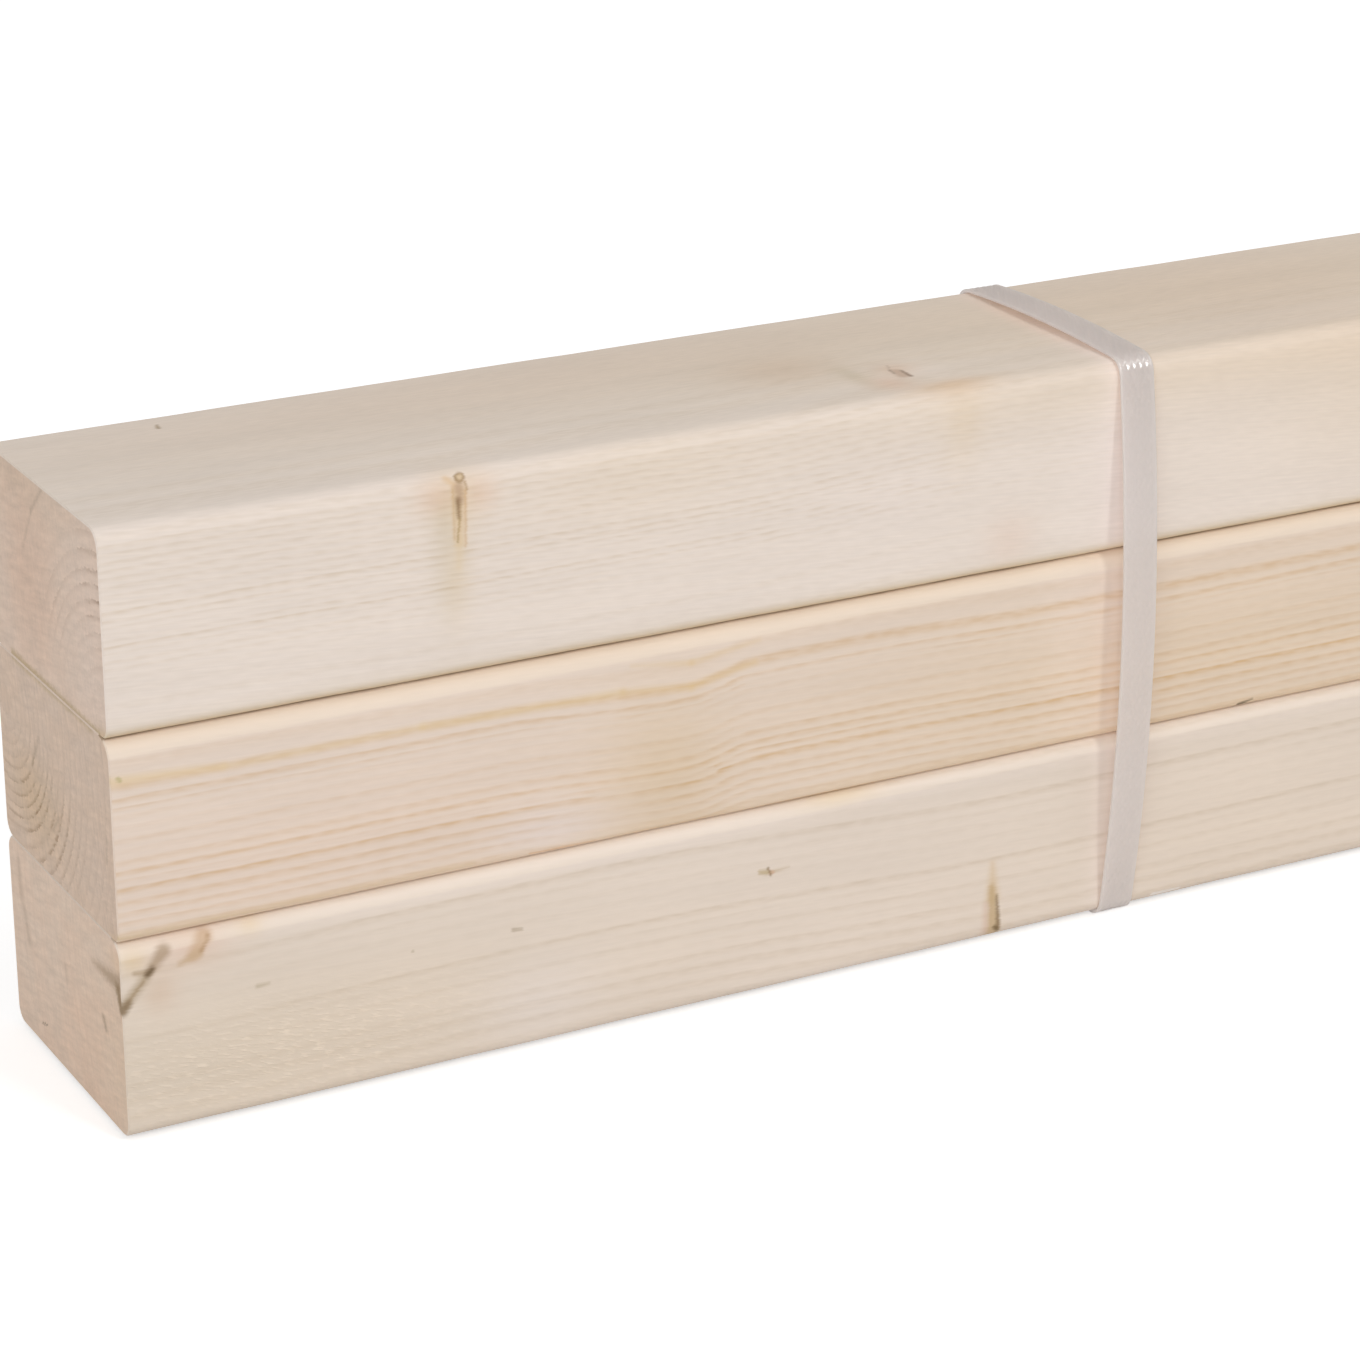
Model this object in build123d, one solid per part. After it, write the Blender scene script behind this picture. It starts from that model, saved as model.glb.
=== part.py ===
from build123d import *
from math import asin, cos, degrees, radians, sin
import os

# A bundle of three planed, round-edged softwood battens, stacked flat and tied with two plastic straps.
# Millimetres. X runs along the battens, the front faces look along -Y and +Z is up. The origin is the
# middle of the bundle's footprint, on the floor that the undersides of the straps lie on.

# Battens: a planed section with rounded long edges and square saw-cut ends
batten_names = ("batten_bottom", "batten_middle", "batten_top")
batten_length = 2000.0
batten_width = 60.0
batten_height = 40.0
batten_edge_radius = 3.0

# Straps: flat band drawn once round the stack, with its two ends lapped and welded at the back
strap_width = 8.0
strap_thickness = 0.65
strap_inset = 219.5
strap_seat_clearance = 0.2
strap_front_slack = 4.3
strap_top_slack = 1.0
strap_lap_length = 30.0
strap_lap_ramp_length = 5.0

# Places that follow from the sizes
strap_turn_radius = batten_edge_radius + strap_seat_clearance
stack_underside = strap_thickness + strap_seat_clearance
stack_height = batten_height * len(batten_names)
stack_middle_height = stack_underside + stack_height / 2
front_reach = batten_width / 2 + strap_seat_clearance + strap_front_slack + strap_thickness
back_reach = batten_width / 2 + strap_seat_clearance + 2 * strap_thickness
stack_shift = (front_reach - back_reach) / 2
turn_centre_across = batten_width / 2 - batten_edge_radius
turn_centre_up = stack_height / 2 - batten_edge_radius
strap_places = {
    "strap_near": strap_inset - batten_length / 2,
    "strap_far": batten_length / 2 - strap_inset,
}

# The strap's runs in order round the stack, at the back, over the top, down the front and underneath: the
# way each one faces in degrees from +Y towards +Z, half the distance between the turns at its ends, and
# how far it bows off the wood. The turn that ends each run has its centre in the same place of the last list.
quarter_turn = 90
run_directions = (0, quarter_turn, 2 * quarter_turn, 3 * quarter_turn)
run_half_spans = (turn_centre_up, turn_centre_across, turn_centre_up, turn_centre_across)
run_slacks = (0, strap_top_slack, strap_front_slack, 0)
turn_centres = (
    (turn_centre_across, turn_centre_up),
    (-turn_centre_across, turn_centre_up),
    (-turn_centre_across, -turn_centre_up),
    (turn_centre_across, -turn_centre_up),
)


def batten(level):
    """A batten at its level in the stack, counted from the bottom."""
    section = RectangleRounded(batten_width, batten_height, batten_edge_radius)
    middle_height = stack_underside + batten_height * (level + 1 / 2)
    bar = extrude(Plane.YZ * section, amount=batten_length / 2, both=True)
    return Pos(0, stack_shift, middle_height) * bar


def run_lean(run):
    """How far, in degrees, a slack run has swung from its straight line where it meets a turn."""
    slack = run_slacks[run]
    if slack == 0:
        return 0
    half_span = run_half_spans[run]
    bow_radius_past_turn = (half_span**2 + slack**2) / (2 * slack)
    return degrees(asin(half_span / bow_radius_past_turn))


def on_turn(turn, angle, radius):
    """The point on a turn's arc at an angle in degrees."""
    across, up = turn_centres[turn]
    return (across + radius * cos(radians(angle)), up + radius * sin(radians(angle)))


def run_bulge(run, radius):
    """The point of a slack run that stands furthest off the wood."""
    direction = radians(run_directions[run])
    clear_of_middle = run_half_spans[run - 1] + radius + run_slacks[run]
    return (clear_of_middle * cos(direction), clear_of_middle * sin(direction))


def loop_face(radius):
    """The area inside a line that follows the strap's runs and turns, with its turns of the given radius."""
    edges = []
    for run, direction in enumerate(run_directions):
        start = on_turn(run - 1, direction - run_lean(run), radius)
        end = on_turn(run, direction + run_lean(run), radius)
        if run_slacks[run] == 0:
            edges.append(Line(start, end))
        else:
            edges.append(ThreePointArc(start, run_bulge(run, radius), end))
        following = (run + 1) % len(run_directions)
        turn_start = direction + run_lean(run)
        turn_size = direction + quarter_turn - run_lean(following) - turn_start
        edges.append(CenterArc(turn_centres[run], radius, turn_start, turn_size))
    return make_face(edges)


def lap_face():
    """The second layer of band at the weld: a square-cut tail, and a ramp down past the end beneath."""
    inside = batten_width / 2 + strap_seat_clearance + strap_thickness
    outside = inside + strap_thickness
    tail = -strap_lap_length / 2
    ramp_foot = strap_lap_length / 2 + strap_lap_ramp_length
    outline = Polyline(
        (inside, tail),
        (outside, tail),
        (outside, strap_lap_length / 2),
        (inside, ramp_foot),
        close=True,
    )
    return make_face(outline)


def strap(place):
    """A strap loop at its place along the bundle."""
    band = loop_face(strap_turn_radius + strap_thickness) - loop_face(strap_turn_radius) + lap_face()
    loop = extrude(Plane.YZ * band, amount=strap_width / 2, both=True)
    return Pos(place, stack_shift, stack_middle_height) * loop


os.makedirs("parts", exist_ok=True)
for level, name in enumerate(batten_names):
    export_step(batten(level), f"parts/{name}.step")
for name, place in strap_places.items():
    export_step(strap(place), f"parts/{name}.step")
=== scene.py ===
"""Looks of a bundle of three planed spruce battens that two polypropylene straps tie together.

Sizes are in millimetres until a mesh is made. A place in a batten is (along, inward, up): along from the
near end, inward from the front face and up from the underside.
"""

import logging
import math
from collections.abc import Sequence
from dataclasses import dataclass
from enum import Enum, IntEnum
from functools import partial

import bpy
import numpy as np
from mathutils import Matrix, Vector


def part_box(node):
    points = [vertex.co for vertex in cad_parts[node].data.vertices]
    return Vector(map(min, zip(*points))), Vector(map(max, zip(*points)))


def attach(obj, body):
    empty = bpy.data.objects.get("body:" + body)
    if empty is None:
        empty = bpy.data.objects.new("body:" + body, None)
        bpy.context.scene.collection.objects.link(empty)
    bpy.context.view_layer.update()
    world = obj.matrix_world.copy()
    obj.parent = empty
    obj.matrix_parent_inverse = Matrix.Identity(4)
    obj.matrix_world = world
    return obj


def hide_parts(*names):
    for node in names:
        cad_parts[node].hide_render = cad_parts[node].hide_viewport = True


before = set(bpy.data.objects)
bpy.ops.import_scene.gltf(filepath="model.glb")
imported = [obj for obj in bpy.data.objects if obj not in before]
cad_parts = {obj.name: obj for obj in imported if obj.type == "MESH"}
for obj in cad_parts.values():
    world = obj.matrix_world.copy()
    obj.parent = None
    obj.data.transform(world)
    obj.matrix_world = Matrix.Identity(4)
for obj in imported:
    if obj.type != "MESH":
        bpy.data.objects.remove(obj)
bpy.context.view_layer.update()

LOG = logging.getLogger("bundle")
METRE = 1000.0
LINE_START, LINE_PEAK = 0.1, 0.72  # the shares of a ring at which its dark line begins and is darkest
FIBRE_WAVER, CLOUD_WAVER = 0.12, 0.2  # how far, in rings, the fibre and the clouds shift a line
LINE_SPAN = (-0.6, 0.2)  # where a line keeps its strength, in rings from its darkest place
LINE_LEAD = 1 - LINE_PEAK + (FIBRE_WAVER + CLOUD_WAVER) / 2
RING_LIMIT = 160  # more rings than any batten has
RING_WIDTHS = (0.75, 1.25)  # the narrowest and the widest ring, as shares of the usual spacing
WAVE_SIZES, WAVE_SHARES = (0.55, 0.3, 0.15), (1.0, 0.61, 0.37)  # the waves that make up a slow wander
BUMP_STRENGTH = 0.5
FILLET_STEPS = 3
WHITE = "#FFFFFF"
BODY = "root"

Place = tuple[float, float, float]
Socket = bpy.types.NodeSocket

# Short names of the node kinds that are used most
MATH = "ShaderNodeMath"
VECTOR = "ShaderNodeVectorMath"
NOISE = "ShaderNodeTexNoise"
RANGE = "ShaderNodeMapRange"
MIX = "ShaderNodeMix"
MIX_WEIGHT, MIX_UNDER, MIX_OVER, MIX_RESULT = 0, 6, 7, 2
VECTOR_SCALE, VECTOR_VALUE = 3, 1


def linear(colour: str) -> tuple[float, float, float, float]:
    """Turns an sRGB hex colour into the linear colour that Blender takes.

    Args:
        colour: Six hex digits after a hash sign.

    Returns:
        Red, green, blue and a full alpha.
    """
    channels = [int(colour[start:start + 2], 16) / 255 for start in (1, 3, 5)]
    red, green, blue = (c / 12.92 if c <= 0.04045 else ((c + 0.055) / 1.055) ** 2.4 for c in channels)
    return red, green, blue, 1.0


def add_node(tree: bpy.types.NodeTree, kind: str, inputs: dict | None = None, output: int | str = 0,
             **settings: object) -> Socket | None:
    """Adds a node with its settings, values and links.

    Args:
        tree: The node tree that gets the node.
        kind: The node's type name.
        inputs: A socket to link from, or a value, for each input by its number or name.
        output: The output to hand back, by its number or name.
        **settings: The node's own properties.

    Returns:
        The chosen output, or None where the node has no outputs.
    """
    node = tree.nodes.new(kind)
    for name, value in settings.items():
        setattr(node, name, value)
    for key, value in (inputs or {}).items():
        if isinstance(value, Socket):
            tree.links.new(value, node.inputs[key])
        else:
            node.inputs[key].default_value = value
    return node.outputs[output] if len(node.outputs) else None


def empty_material(name: str) -> bpy.types.Material:
    """Makes a material whose node tree is still bare."""
    material = bpy.data.materials.new(name)
    material.use_nodes = True
    material.node_tree.nodes.clear()
    return material


def slow_wave(along: np.ndarray, period: float, seed: int) -> np.ndarray:
    """A smooth wander of about -1 to 1 that doesn't repeat along a batten.

    Args:
        along: Places along the batten.
        period: The length of its longest wave.
        seed: Which wander it is.

    Returns:
        The wander at each place.
    """
    phases = np.random.default_rng(seed).uniform(0, 2 * math.pi, len(WAVE_SIZES))
    waves = zip(WAVE_SIZES, WAVE_SHARES, phases)
    return sum(size * np.sin(2 * math.pi * along / (period * share) + phase) for size, share, phase in waves)


def ease(value: np.ndarray, start: float, end: float) -> np.ndarray:
    """Rises smoothly from 0 at start to 1 at end."""
    step = np.clip((value - start) / (end - start), 0, 1)
    return step * step * (3 - 2 * step)


class Tone(Enum):
    """Tones of the wood's stains, also used for painted highlights and painted shade, as what they leave of
    its colour.
    """

    AMBER = "#FAEECE"
    ROSY = "#FBECE3"
    UMBER = "#EDECE3"


@dataclass(frozen=True)
class Spot:
    """A soft-edged region of a batten."""

    centre: Place
    reach: Place
    strength: float

    def weight(self, places: np.ndarray) -> np.ndarray:
        """How strongly each place lies in the region."""
        away = (places - np.array(self.centre)) / np.array(self.reach)
        return self.strength * np.exp(-np.sum(away**2, axis=1))


def total(spots: Sequence[Spot], places: np.ndarray) -> np.ndarray:
    """How strongly each place lies in all the regions together."""
    return sum((spot.weight(places) for spot in spots), np.zeros(len(places)))


@dataclass(frozen=True)
class StainAndPaintedLight:
    """A soft tint of one tone, used for stains in the wood and for painted highlights and painted shade; a
    negative strength lightens.
    """

    tone: Tone
    spot: Spot

    def tint(self, places: np.ndarray) -> np.ndarray:
        """What the stain leaves of the wood's colour at each place."""
        left = np.array(linear(self.tone.value)[:3])
        return 1 + self.spot.weight(places)[:, None] * (left - 1)


@dataclass(frozen=True)
class Streak:
    """A tapering stroke of bark, pitch or heartwood in the wood; some long streaks along the edges are
    painted highlights and painted shade instead.
    """

    start: Place
    end: Place
    radius: float
    end_radius: float
    soft: float
    ink: str
    strength: float = 1.0


@dataclass(frozen=True)
class Knot:
    """A round branch knot, where a branch that leaves the pith meets a face."""

    face: Place
    radius: float


@dataclass(frozen=True)
class Bend:
    """A rise of the grain between two places along a batten."""

    start: float
    end: float
    rise: float


@dataclass(frozen=True)
class GrowthRings:
    """The year rings of the log that a batten was sawn from.

    A front line is the height of a dark line on the front face and how strongly it shows.
    """

    pith: tuple[float, float]
    spacing: float
    core_spacing: float = 3.0
    bends: tuple[Bend, ...] = ()
    front_lines: tuple[tuple[float, float], ...] = ()
    faintest: float = 0.2
    strongest: float = 0.9
    wander: float = 0.3
    wander_period: float = 170.0
    seed: int = 1

    def radius(self, inward: np.ndarray, up: np.ndarray) -> np.ndarray:
        """The distance from the pith."""
        return np.hypot(inward - self.pith[0], up - self.pith[1])

    def ring_ends(self) -> tuple[np.ndarray, np.ndarray]:
        """Lists the rings from the pith outwards.

        Returns:
            The radius at which each ring ends in its dark line, and how strongly the line shows.
        """
        chance = np.random.default_rng(self.seed + 2)
        strengths = chance.uniform(self.faintest, self.strongest, RING_LIMIT)
        widths = self.spacing * chance.uniform(*RING_WIDTHS, RING_LIMIT)
        if not self.front_lines:
            return np.cumsum(widths), strengths
        heights, shows = np.array(self.front_lines).T
        lines = self.radius(np.zeros(len(heights)), heights)
        order = np.argsort(lines)
        inside = np.arange(0, lines[order[0]] - self.core_spacing / 2, self.core_spacing)
        radii = np.concatenate((inside, lines[order], lines[order[-1]] + np.cumsum(widths)))[:RING_LIMIT]
        strengths[len(inside):len(inside) + len(lines)] = shows[order]
        return radii, strengths

    def number(self, places: np.ndarray) -> tuple[np.ndarray, np.ndarray]:
        """Counts the rings from the pith.

        Args:
            places: Places in the batten, one in each row.

        Returns:
            The number of rings out to each place, whole on a dark line, and how strongly lines show there.
        """
        along, inward, up = places.T
        rise = sum(bend.rise * ease(along, bend.start, bend.end) for bend in self.bends)
        up = up - rise + self.wander * slow_wave(along, self.wander_period, self.seed)
        inward = inward + self.wander * slow_wave(along, self.wander_period, self.seed + 1)
        radii, strengths = self.ring_ends()
        count = np.interp(self.radius(inward, up), radii, np.arange(len(radii)))
        spans = (np.arange(len(strengths))[:, None] + np.array(LINE_SPAN)).ravel()
        return count, np.interp(count, spans, np.repeat(strengths, 2))


def wood_sockets(tree: bpy.types.NodeTree, origin: Place) -> tuple[Socket, ...]:
    """Adds the place in a batten and what its wood is like there.

    Args:
        tree: The material's node tree.
        origin: The batten's near lower front corner in the frame.

    Returns:
        The place, the ring number, how clearly its line shows, the distance to the nearest knot's side and
        the stain, which also carries painted highlights and painted shade.
    """
    add = partial(add_node, tree)
    position = add("ShaderNodeTexCoord", output="Object")
    to_corner = tuple(-c for c in origin)
    place = add(VECTOR, {0: position, 1: (METRE,) * 3, 2: to_corner}, operation="MULTIPLY_ADD")
    growth = add("ShaderNodeAttribute", output="Vector", attribute_name="growth")
    stain = add("ShaderNodeAttribute", output="Color", attribute_name="stain")
    return place, *add("ShaderNodeSeparateXYZ", {0: growth}).node.outputs, stain


def drawn_out(tree: bpy.types.NodeTree, place: Socket, size: Place, tilt: Place, detail: float) -> Socket:
    """Adds a pattern of soft patches that are drawn out along the grain.

    Args:
        tree: The material's node tree.
        place: The place in the batten.
        size: The size of a patch along, inward and up.
        tilt: How the patches are turned, in degrees.
        detail: How much finer detail the patches hold.

    Returns:
        The pattern, from 0 to 1.
    """
    turned = tuple(math.radians(angle) for angle in tilt)
    mapped = add_node(tree, "ShaderNodeMapping", {"Vector": place, "Rotation": turned, "Scale": size},
                      vector_type="TEXTURE")
    return add_node(tree, NOISE, {"Vector": mapped, "Scale": 1.0, "Detail": detail})


def wood_surface(tree: bpy.types.NodeTree, wood: Socket, height: Socket, relief: float, roughness: float,
                 gloss: float) -> None:
    """Adds the surface that shows the wood's colour and relief.

    Args:
        tree: The material's node tree.
        wood: The wood's colour.
        height: The pattern of the relief.
        relief: How deep the relief is.
        roughness: How rough the surface is.
        gloss: How much it reflects.
    """
    add = partial(add_node, tree)
    normal = add("ShaderNodeBump", {"Strength": BUMP_STRENGTH, "Distance": relief / METRE, "Height": height})
    surface = add("ShaderNodeBsdfPrincipled", {"Base Color": wood, "Roughness": roughness,
                                               "Specular IOR Level": gloss, "Normal": normal})
    add("ShaderNodeOutputMaterial", {0: surface})


@dataclass(frozen=True)
class PlanedSpruce:
    """Untreated spruce, planed lengthwise.

    It gives the eye pale earlywood with fine, broken latewood lines along the length, a faint silky fibre,
    and almost no gloss. Where the planer tore the grain it is rough and speckled. Single fibres, about 3 mm
    long and 0.03 mm wide, are too fine to show, so they are drawn as coarser bundles.
    """

    name: str
    early: str
    late: str
    heart: str = "#C79F74"
    bark: str = "#86684A"
    roughness: float = 0.58
    gloss: float = 0.25
    grain_slope: float = 3.0
    fibre_size: Place = (13.0, 0.4, 0.4)
    cloud_size: Place = (45.0, 7.0, 7.0)
    dash_size: Place = (3.4, 0.7, 0.7)
    fleck_size: Place = (2.6, 0.6, 0.6)
    fibre_shade: float = 0.1
    cloud_shade: float = 0.08
    dash_shade: float = 0.045
    dash_span: tuple[float, float] = (0.65, 0.35)
    break_up: float = 0.3
    torn: float = 0.0
    torn_slope: float = 14.0
    fleck_span: tuple[float, float] = (0.5, 0.68)
    fleck_range: tuple[float, float] = (-0.2, 1.0)
    torn_relief: float = 3.0
    heart_span: tuple[float, float] = (0.5, -0.5)
    heart_strength: float = 0.85
    bark_span: tuple[float, float] = (0.9, 0.1)
    bark_strength: float = 0.7
    ragged: float = 0.7
    relief: float = 0.05

    def material(self, origin: Place, streaks: Sequence[Streak] = (), ink: bpy.types.NodeTree | None = None,
                 knotted: bool = False) -> bpy.types.Material:
        """Makes the material for one batten.

        Args:
            origin: The batten's near lower front corner in the frame.
            streaks: The streaks that show on its planed faces.
            ink: The node group that inks a streak.
            knotted: Whether round knots show on the faces that take it.

        Returns:
            The material.
        """
        material = empty_material(self.name)
        tree = material.node_tree
        add = partial(add_node, tree)
        place, ring, clarity, knot, stain = wood_sockets(tree, origin)

        # Fibre, clouds and short dashes, drawn out along the grain
        tilt = (0.0, self.grain_slope, 0.0)
        details = ((self.fibre_size, 1.0), (self.cloud_size, 0.0), (self.dash_size, 0.0))
        fibre, cloud, dash = (drawn_out(tree, place, size, tilt, detail) for size, detail in details)

        # Year rings: a slow rise from earlywood to latewood, then a sudden end, broken up by the dashes
        wavering = add(MATH, {0: fibre, 1: FIBRE_WAVER, 2: ring}, operation="MULTIPLY_ADD")
        wavering = add(MATH, {0: cloud, 1: CLOUD_WAVER, 2: wavering}, operation="MULTIPLY_ADD")
        part = add(MATH, {0: wavering}, operation="FRACT")
        rise = add(RANGE, {0: part, 1: LINE_START, 2: LINE_PEAK}, interpolation_type="SMOOTHSTEP")
        fall = add(RANGE, {0: part, 1: 1.0, 2: LINE_PEAK}, interpolation_type="SMOOTHSTEP")
        broken = add(RANGE, {0: dash, 1: self.dash_span[0], 2: self.dash_span[1], 3: 1 - self.break_up,
                             4: 1 + self.break_up / 2})
        line = add(MATH, {0: rise, 1: fall}, operation="MULTIPLY")
        line = add(MATH, {0: line, 1: broken}, operation="MULTIPLY")
        line = add(MATH, {0: line, 1: clarity}, operation="MULTIPLY", use_clamp=True)
        wood = add(MIX, {MIX_WEIGHT: line, MIX_UNDER: linear(self.early), MIX_OVER: linear(self.late)},
                   MIX_RESULT, data_type="RGBA")

        # Lighter and darker tone from the patterns, torn flecks, then the stains with their painted
        # highlights and painted shade
        shades = [(fibre, self.fibre_shade), (cloud, self.cloud_shade), (dash, self.dash_shade)]
        height = dash
        if self.torn:
            flecks = drawn_out(tree, place, self.fleck_size, (0.0, self.torn_slope, 0.0), 1.0)
            flecks = add(RANGE, {0: flecks, 1: self.fleck_span[0], 2: self.fleck_span[1],
                                 3: self.fleck_range[0], 4: self.fleck_range[1]})
            torn = add(MATH, {0: flecks, 1: stain.node.outputs["Alpha"]}, operation="MULTIPLY")
            shades.append((torn, self.torn))
            height = add(MATH, {0: torn, 1: self.torn_relief, 2: dash}, operation="MULTIPLY_ADD")
        shade = 1 - (self.fibre_shade + self.cloud_shade + self.dash_shade) / 2
        for pattern, depth in shades:
            shade = add(MATH, {0: pattern, 1: depth, 2: shade}, operation="MULTIPLY_ADD")
        wood = add(VECTOR, {0: wood, VECTOR_SCALE: shade}, operation="SCALE")
        wood = add(VECTOR, {0: wood, 1: stain}, operation="MULTIPLY")

        # Round knots: heartwood inside a thin line of bark
        if knotted:
            inside = add(RANGE, {0: knot, 1: self.heart_span[0], 2: self.heart_span[1],
                                 4: self.heart_strength})
            rim = add(MATH, {0: knot}, operation="ABSOLUTE")
            rim = add(RANGE, {0: rim, 1: self.bark_span[0], 2: self.bark_span[1], 4: self.bark_strength})
            for weight, colour in ((inside, self.heart), (rim, self.bark)):
                wood = add(MIX, {MIX_WEIGHT: weight, MIX_UNDER: wood, MIX_OVER: linear(colour)}, MIX_RESULT,
                           data_type="RGBA")
        if streaks:
            ragged = add(VECTOR, {0: fibre.node.outputs["Color"], 1: (self.ragged,) * 3, 2: place},
                         operation="MULTIPLY_ADD")
            ragged = add(VECTOR, {0: ragged, 1: (self.ragged / 2,) * 3}, operation="SUBTRACT")
            wood = ink_streaks(tree, ink, streaks, ragged, wood)

        wood_surface(tree, wood, height, self.relief, self.roughness, self.gloss)
        return material


@dataclass(frozen=True)
class SawnSpruce:
    """Spruce end grain, cross-cut with a fine saw.

    It gives the eye a darker, rosier cut: blotches, broken arcs of the year rings, faint level saw marks,
    upright torn fibres and small pits. The pits are drawn coarser than the cut fibres that make them, so
    that they show.
    """

    name: str
    early: str
    late: str
    flush: str
    roughness: float = 0.75
    gloss: float = 0.15
    saw_slope: float = -11.0
    saw_size: Place = (60.0, 8.0, 1.4)
    tear_size: Place = (60.0, 0.8, 5.0)
    blotch_size: Place = (60.0, 13.0, 7.0)
    pit_size: Place = (2.0, 1.0, 0.6)
    pattern_detail: float = 2.0
    saw_shade: float = 0.32
    tear_shade: float = 0.14
    blotch_shade: float = 0.14
    pit_shade: float = 0.14
    flush_span: tuple[float, float] = (0.35, 0.7)
    flush_strength: float = 0.6
    ring_waver: float = 0.45
    line_rise: tuple[float, float] = (0.5, 0.9)
    line_fall: tuple[float, float] = (1.0, 0.92)
    break_span: tuple[float, float] = (0.38, 0.6)
    break_range: tuple[float, float] = (0.1, 1.2)
    ragged: float = 1.4
    relief: float = 0.12

    def material(self, origin: Place, streaks: Sequence[Streak],
                 ink: bpy.types.NodeTree) -> bpy.types.Material:
        """Makes the material for one batten's ends.

        Args:
            origin: The batten's near lower front corner in the frame.
            streaks: The streaks that show on its sawn ends.
            ink: The node group that inks a streak.

        Returns:
            The material.
        """
        material = empty_material(self.name)
        tree = material.node_tree
        add = partial(add_node, tree)
        place, ring, clarity, _knot, stain = wood_sockets(tree, origin)
        tilt = (self.saw_slope, 0.0, 0.0)
        sizes = (self.saw_size, self.tear_size, self.blotch_size, self.pit_size)
        patterns = [drawn_out(tree, place, size, tilt, self.pattern_detail) for size in sizes]
        saw, _tear, blotch, pits = patterns

        # Rosy blotches, then the year rings, shifted by the pits and broken up by the saw marks
        flushed = add(RANGE, {0: blotch, 1: self.flush_span[0], 2: self.flush_span[1],
                              4: self.flush_strength})
        wood = add(MIX, {MIX_WEIGHT: flushed, MIX_UNDER: linear(self.early), MIX_OVER: linear(self.flush)},
                   MIX_RESULT, data_type="RGBA")
        wavering = add(MATH, {0: pits, 1: self.ring_waver, 2: ring}, operation="MULTIPLY_ADD")
        part = add(MATH, {0: wavering}, operation="FRACT")
        rise = add(RANGE, {0: part, 1: self.line_rise[0], 2: self.line_rise[1]},
                   interpolation_type="SMOOTHSTEP")
        fall = add(RANGE, {0: part, 1: self.line_fall[0], 2: self.line_fall[1]})
        broken = add(RANGE, {0: saw, 1: self.break_span[0], 2: self.break_span[1],
                             3: self.break_range[0], 4: self.break_range[1]})
        line = add(MATH, {0: rise, 1: fall}, operation="MULTIPLY")
        line = add(MATH, {0: line, 1: broken}, operation="MULTIPLY")
        line = add(MATH, {0: line, 1: clarity}, operation="MULTIPLY", use_clamp=True)
        wood = add(MIX, {MIX_WEIGHT: line, MIX_UNDER: wood, MIX_OVER: linear(self.late)}, MIX_RESULT,
                   data_type="RGBA")

        # Lighter and darker tone from the patterns, the stains with their painted highlights and painted
        # shade, then the streaks
        depths = (self.saw_shade, self.tear_shade, self.blotch_shade, self.pit_shade)
        shade = 1 - sum(depths) / 2
        for pattern, depth in zip(patterns, depths):
            shade = add(MATH, {0: pattern, 1: depth, 2: shade}, operation="MULTIPLY_ADD")
        wood = add(VECTOR, {0: wood, VECTOR_SCALE: shade}, operation="SCALE")
        wood = add(VECTOR, {0: wood, 1: stain}, operation="MULTIPLY")
        ragged = add(VECTOR, {0: pits.node.outputs["Color"], 1: (self.ragged,) * 3, 2: place},
                     operation="MULTIPLY_ADD")
        ragged = add(VECTOR, {0: ragged, 1: (self.ragged / 2,) * 3}, operation="SUBTRACT")
        wood = ink_streaks(tree, ink, streaks, ragged, wood)

        height = add(MATH, {0: saw, 1: pits}, operation="ADD")
        wood_surface(tree, wood, height, self.relief, self.roughness, self.gloss)
        return material


@dataclass(frozen=True)
class StrapPolypropylene:
    """Natural polypropylene strapping, extruded and embossed.

    It gives the eye a cool, milky band that lets some light through, so its shadow is pale, with a waxy gloss
    that glints on the embossed diamonds.
    """

    name: str = "natural polypropylene strapping"
    milk: str = "#EBE6E3"
    haze: str = "#E9E4E1"
    clear: float = 0.72
    gloss: float = 0.15
    roughness: float = 0.28
    haze_size: float = 3.0
    haze_detail: float = 3.0

    def material(self) -> bpy.types.Material:
        """Makes the material."""
        material = empty_material(self.name)
        add = partial(add_node, material.node_tree)
        position = add("ShaderNodeTexCoord", output="Object")
        haze = add(NOISE, {"Vector": position, "Scale": METRE / self.haze_size,
                           "Detail": self.haze_detail})
        milk = add(MIX, {MIX_WEIGHT: haze, MIX_UNDER: linear(self.haze), MIX_OVER: linear(self.milk)},
                   MIX_RESULT, data_type="RGBA")
        body = add("ShaderNodeBsdfDiffuse", {"Color": milk})
        through = add("ShaderNodeBsdfTranslucent", {"Color": milk})
        body = add("ShaderNodeMixShader", {0: self.clear, 1: body, 2: through})
        shine = add("ShaderNodeBsdfGlossy", {"Color": linear(WHITE), "Roughness": self.roughness})
        finish = add("ShaderNodeMixShader", {0: self.gloss, 1: body, 2: shine})
        add("ShaderNodeOutputMaterial", {0: finish})
        return material


STREAK_SOCKETS = {
    "Place": "NodeSocketVector",
    "Start": "NodeSocketVector",
    "Run": "NodeSocketVector",
    "Radius": "NodeSocketFloat",
    "Taper": "NodeSocketFloat",
    "Soft": "NodeSocketFloat",
    "Strength": "NodeSocketFloat",
    "Ink": "NodeSocketColor",
    "Wood": "NodeSocketColor",
}


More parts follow.
